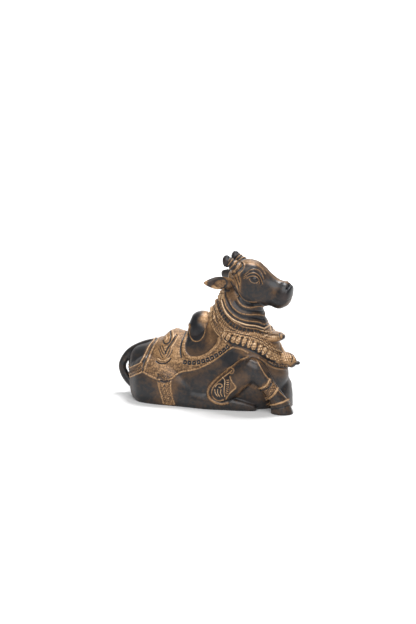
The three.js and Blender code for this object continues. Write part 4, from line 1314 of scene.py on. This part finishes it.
def patina(finish):
    """Cast brass with a black patina, rubbed back to brown and tan where the carving stands up. The kept
    values bring in a few painted highlights and painted shade as well.
    """
    material = bpy.data.materials.new("rubbed_dark_brass_with_painted_light")
    material.use_nodes = True
    tree = material.node_tree
    tree.nodes.clear()
    output = node(tree, "ShaderNodeOutputMaterial", (900, 0))
    shader = node(tree, "ShaderNodeBsdfPrincipled", (600, 0))
    tree.links.new(shader.outputs["BSDF"], output.inputs["Surface"])
    place = node(tree, "ShaderNodeTexCoord", (-1400, 0)).outputs["Object"]
    worn = kept_value(tree, (-1400, 300), RUBBED)
    clouds = noise(tree, (-1200, -100), place, CLOUDS, 3)
    mottling = noise(tree, (-1200, -300), place, MOTTLES, 5, 0.65)
    grit = noise(tree, (-1200, -500), place, GRIT, 4, 0.6)
    grounded = kept_value(tree, (-1400, 600), BEADED)
    cells = node(tree, "ShaderNodeTexVoronoi", (-1200, 600), feature="F1")
    cells.inputs["Scale"].default_value = 1 / (finish.bead * MM)
    cells.inputs["Randomness"].default_value = 0.6
    tree.links.new(place, cells.inputs["Vector"])
    greys = [(at, (grey,) * 3) for at, grey in BEAD_RINGS]
    rings = ramp_of(tree, (-1000, 600), cells.outputs["Distance"], greys)
    beads = product(tree, (-700, 600), rings, grounded)
    worn = sum_of(tree, (-600, 450), grounded, -0.1, worn)
    worn = sum_of(tree, (-500, 450), beads, 0.2, worn)
    pits = spread(tree, (-900, -700), noise(tree, (-1200, -700), place, PITS, 3, 0.6), 0.5, 0.64, 0.0, 1.0)
    carved = spread(tree, (-900, -900), worn, 0.34, 0.56, 0.0, -finish.pitting)
    worn = sum_of(tree, (-600, 100), product(tree, (-700, -800), pits, carved), 1.0, worn)
    share = sum_of(tree, (-900, 200), mottling, finish.mottling, worn)
    share = sum_of(tree, (-700, 200), clouds, 0.14, share)
    share = sum_of(tree, (-500, 200), share, 1.0, -0.5 * finish.mottling - 0.07, True)

    colour = ramp_of(tree, (-300, 300), share, (
        (0.0, finish.groove), (0.2, finish.skin), (0.42, finish.brown), (0.7, finish.tan),
        (0.96, finish.light),
    ))
    ruddy = spread(tree, (-500, -100), clouds, 0.5, 0.68, 0.0, 0.5)
    dark = spread(tree, (-300, 0), share, 0.12, 0.34, 1.0, 0.0)
    warm = node(tree, "ShaderNodeMix", (100, 200), data_type="RGBA", blend_type="MIX")
    warm.inputs["B"].default_value = (*finish.ruddy, 1)
    tree.links.new(colour, warm.inputs["A"])
    tree.links.new(product(tree, (-100, -50), ruddy, dark), warm.inputs["Factor"])
    tree.links.new(warm.outputs["Result"], shader.inputs["Base Color"])

    metal = spread(tree, (200, 0), share, 0.1, 0.6, finish.dark_metal, finish.tan_metal)
    tree.links.new(metal, shader.inputs["Metallic"])
    shader.inputs["Specular IOR Level"].default_value = 0.45
    rough = spread(tree, (0, -250), share, 0.1, 0.55, finish.dark_roughness, finish.tan_roughness)
    rough = sum_of(tree, (250, -250), mottling, 0.16, rough)
    tree.links.new(rough, shader.inputs["Roughness"])

    height = sum_of(tree, (0, -450), grit, 0.4, mottling)
    height = sum_of(tree, (100, -550), beads, 1.4, height)
    casting = node(tree, "ShaderNodeBump", (300, -450))
    casting.inputs["Strength"].default_value = finish.casting
    casting.inputs["Distance"].default_value = 0.3 * MM
    tree.links.new(height, casting.inputs["Height"])
    tree.links.new(casting.outputs["Normal"], shader.inputs["Normal"])
    return material


def plain_material(name, colour, roughness):
    """An even matt finish, its colour hardly clouded."""
    material = bpy.data.materials.new(name)
    material.use_nodes = True
    tree = material.node_tree
    shader = tree.nodes["Principled BSDF"]
    shader.inputs["Roughness"].default_value = roughness
    place = node(tree, "ShaderNodeTexCoord", (-900, 0)).outputs["Object"]
    clouds = noise(tree, (-700, 0), place, 2, 2)
    clouded = ramp_of(tree, (-400, 0), clouds, ((0.0, [c * 0.985 for c in colour]), (1.0, colour)))
    tree.links.new(clouded, shader.inputs["Base Color"])
    return material


# How many steps the floor's curve has.
BEND_STEPS = 24


def only_verts(geometry):
    """The vertices among a bmesh's parts."""
    return [part for part in geometry if isinstance(part, bmesh.types.BMVert)]


def floor_sweep(size, bend, material):
    """A floor that curves up into the backdrop behind the bull, seen square from the camera."""
    bm = bmesh.new()
    edge = [bm.verts.new((-size, y, 0)) for y in (-size, size - bend)]
    bm.edges.new(edge)
    arc = bmesh.ops.spin(bm, geom=edge[-1:], cent=(0, size - bend, bend), axis=(1, 0, 0), angle=math.pi / 2,
                         steps=BEND_STEPS, dvec=(0, 0, 0), use_duplicate=False)["geom_last"]
    top = bmesh.ops.extrude_vert_indiv(bm, verts=only_verts(arc))["verts"]
    bmesh.ops.translate(bm, verts=top, vec=(0, 0, size))
    bmesh.ops.remove_doubles(bm, verts=bm.verts, dist=WELD)
    wide = bmesh.ops.extrude_edge_only(bm, edges=bm.edges)["geom"]
    bmesh.ops.translate(bm, verts=only_verts(wide), vec=(2 * size, 0, 0))
    turn = Matrix.Rotation(math.radians(AZIMUTH), 3, "Z")
    bmesh.ops.rotate(bm, verts=bm.verts, cent=(0, 0, 0), matrix=turn)
    bmesh.ops.recalc_face_normals(bm, faces=bm.faces)
    if sum(f.normal.z * f.calc_area() for f in bm.faces) < 0:
        bmesh.ops.reverse_faces(bm, faces=bm.faces)
    floor = new_object("floor", bm)
    floor.data.materials.append(material)
    floor.data.shade_smooth()


def softbox(name, place, aim, size, power):
    """A square area light that faces a place."""
    light = bpy.data.lights.new(name, "AREA")
    light.shape = "SQUARE"
    light.size = size
    light.energy = power
    made = bpy.data.objects.new(name, light)
    made.location = place
    made.rotation_euler = (place - aim).to_track_quat("Z", "Y").to_euler()
    bpy.context.scene.collection.objects.link(made)


# The softboxes: each one's name, where it stands and what it faces, both as the azimuth, elevation and
# distance in metres from the bull, its size in metres, and its share of the stage's power.
SOFTBOXES = [
    ("overhead", (165, 72, 1.4), (0, 0, 0), 0.5, 0.85),
    ("front", (16, 42, 1.6), (0, 0, 0), 1.6, 1.15),
    ("backdrop", (200, 50, 1.3), (200, 12, 2.2), 1.2, 1.5),
]


def from_bull(azimuth, elevation, distance):
    """A place in metres, by its direction and distance from the bull."""
    return Vector(TARGET * MM) + Vector(towards(azimuth, elevation)) * distance


def whole(name, default, description, lowest, highest):
    """A setting that is a whole number."""
    return bpy.props.IntProperty(name=name, description=description, default=default, min=lowest, max=highest)


def share_of(name, default, description, highest=1.0):
    """A setting that is a share."""
    return bpy.props.FloatProperty(name=name, description=description, default=default, min=0.0, max=highest,
                                   subtype="FACTOR")


def length_of(name, default, description):
    """A setting that is a length in metres."""
    return bpy.props.FloatProperty(name=name, description=description, default=default, min=0.0,
                                   unit="LENGTH")


def colour_of(name, default, description):
    """A setting that is a colour."""
    return bpy.props.FloatVectorProperty(name=name, description=description, default=default, min=0.0,
                                         max=1.0, size=3, subtype="COLOR")


class NandiSizes(bpy.types.PropertyGroup):
    """The carving and the fineness of the bull's mesh."""

    strength: share_of("Carving", 1.0, "How far the carving stands out, as a share of its full depth", 2.0)
    triangles: whole("Triangles", 195_000, "About how many triangles the bull's mesh is thinned to",
                     20_000, 199_000)


class NandiFinish(bpy.types.PropertyGroup):
    """The colours and gloss of the bull's patina."""

    groove: colour_of("Groove", (0.008, 0.009, 0.012), "The patina left in the carving's grooves")
    skin: colour_of("Skin", (0.0175, 0.0175, 0.019), "The dark patina on the smooth skin")
    ruddy: colour_of("Ruddy", (0.054, 0.033, 0.027), "Reddish clouds in the dark patina")
    brown: colour_of("Brown", (0.102, 0.054, 0.025), "The patina where it is half rubbed away")
    tan: colour_of("Tan", (0.35, 0.200, 0.090), "The carving where the patina is rubbed through")
    light: colour_of("Light tan", (0.74, 0.54, 0.35), "The carving's highest and most rubbed places")
    bead: bpy.props.FloatProperty(name="Bead", default=2.7, min=1.0, max=12.0,
                                  description="The pitch of the beads on the cloth's ground, in mm")
    mottling: share_of("Mottling", 0.36, "How unevenly the patina is rubbed")
    pitting: share_of("Pitting", 0.22, "How much darker the pits in the rubbed carving are")
    casting: share_of("Casting", 0.35, "How strongly the cast skin's fine pitting shows")
    dark_metal: share_of("Dark metal", 0.3, "How metallic the dark patina looks")
    tan_metal: share_of("Tan metal", 0.25, "How metallic the rubbed brass looks")
    dark_roughness: share_of("Dark roughness", 0.24, "The roughness of the dark patina")
    tan_roughness: share_of("Tan roughness", 0.38, "The roughness of the rubbed brass")


class NandiStage(bpy.types.PropertyGroup):
    """The floor, the camera's distance and the light."""

    floor: length_of("Floor", 2.2, "Half the width of the floor")
    bend: length_of("Bend", 0.9, "The radius of the floor's curve up into the backdrop")
    paper: colour_of("Paper", (0.70, 0.70, 0.70), "The colour of the floor and backdrop")
    power: bpy.props.FloatProperty(name="Light", default=27.0, min=0.0, unit="POWER",
                                   description="The power that each softbox takes its share of")
    sky: bpy.props.FloatProperty(name="Sky", default=0.3, min=0.0,
                                 description="The strength of the white light from all round")


class NANDI_OT_cast_bull(bpy.types.Operator):
    """Builds the reclining bull as one cast piece, with its carving and patina"""

    bl_idname = "nandi.cast_bull"
    bl_label = "Cast the Bull"

    def execute(self, context):
        sizes = context.scene.nandi_sizes
        bull = fused(big_forms(), VOXEL_FORM, SOFTEN_FORM)
        fused(joined(bull, small_forms()), VOXEL_SKIN, SOFTEN_SKIN)
        cut_flat(bull)
        carve(bull, sizes.strength)
        thinned(bull, sizes.triangles)
        bull.name = bull.data.name = "cast_bull"
        if RUBBED not in bull.data.attributes:
            raise RuntimeError("the patina's attribute was lost when the mesh was thinned")
        bull.data.shade_smooth()
        bull.data.materials.clear()
        bull.data.materials.append(patina(context.scene.nandi_finish))
        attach(bull, "root")
        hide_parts("nandi_bull")
        return {"FINISHED"}


class NANDI_OT_stage(bpy.types.Operator):
    """Sets the camera, the pale floor and the soft studio light"""

    bl_idname = "nandi.stage"
    bl_label = "Set the Stage"

    def execute(self, context):
        stage = context.scene.nandi_stage
        floor_sweep(stage.floor, stage.bend, plain_material("pale_paper", stage.paper, 0.7))
        for name, place, aim, size, share in SOFTBOXES:
            softbox(name, from_bull(*place), from_bull(*aim), size, stage.power * share)
        world = bpy.data.worlds.new("studio")
        world.use_nodes = True
        world.node_tree.nodes["Background"].inputs["Color"].default_value = (1, 1, 1, 1)
        world.node_tree.nodes["Background"].inputs["Strength"].default_value = stage.sky
        context.scene.world = world
        context.scene.view_settings.view_transform = "Standard"

        lens = bpy.data.cameras.new("camera")
        lens.sensor_width = SENSOR
        lens.lens = SENSOR * DISTANCE / (PHOTO_HEIGHT * MM_PER_PIXEL)
        lens.clip_start, lens.clip_end = 0.05, 50
        camera = bpy.data.objects.new("camera", lens)
        back = Vector(camera_axes()[0])
        camera.location = (Vector(TARGET) + back * DISTANCE) * MM
        camera.rotation_euler = back.to_track_quat("Z", "Y").to_euler()
        context.scene.collection.objects.link(camera)
        context.scene.camera = camera
        return {"FINISHED"}


class NANDI_PT_panel(bpy.types.Panel):
    """Lists the bull's sizes and finish, and the buttons that build it and its stage"""

    bl_idname = "NANDI_PT_panel"
    bl_label = "Cast Nandi"
    bl_space_type = "VIEW_3D"
    bl_region_type = "UI"
    bl_category = "Nandi"

    def draw(self, context):
        scene = context.scene
        for group, operator in (
            (scene.nandi_sizes, None),
            (scene.nandi_finish, NANDI_OT_cast_bull.bl_idname),
            (scene.nandi_stage, NANDI_OT_stage.bl_idname),
        ):
            box = self.layout.box()
            for name in group.__annotations__:
                box.prop(group, name)
            if operator:
                box.operator(operator)


CLASSES = (NandiSizes, NandiFinish, NandiStage, NANDI_OT_cast_bull, NANDI_OT_stage, NANDI_PT_panel)


def register():
    for cls in CLASSES:
        bpy.utils.register_class(cls)
    bpy.types.Scene.nandi_sizes = bpy.props.PointerProperty(type=NandiSizes)
    bpy.types.Scene.nandi_finish = bpy.props.PointerProperty(type=NandiFinish)
    bpy.types.Scene.nandi_stage = bpy.props.PointerProperty(type=NandiStage)


def unregister():
    del bpy.types.Scene.nandi_stage
    del bpy.types.Scene.nandi_finish
    del bpy.types.Scene.nandi_sizes
    for cls in reversed(CLASSES):
        bpy.utils.unregister_class(cls)


def main():
    register()
    bpy.ops.nandi.stage()
    bpy.ops.nandi.cast_bull()


if __name__ == "__main__":
    main()
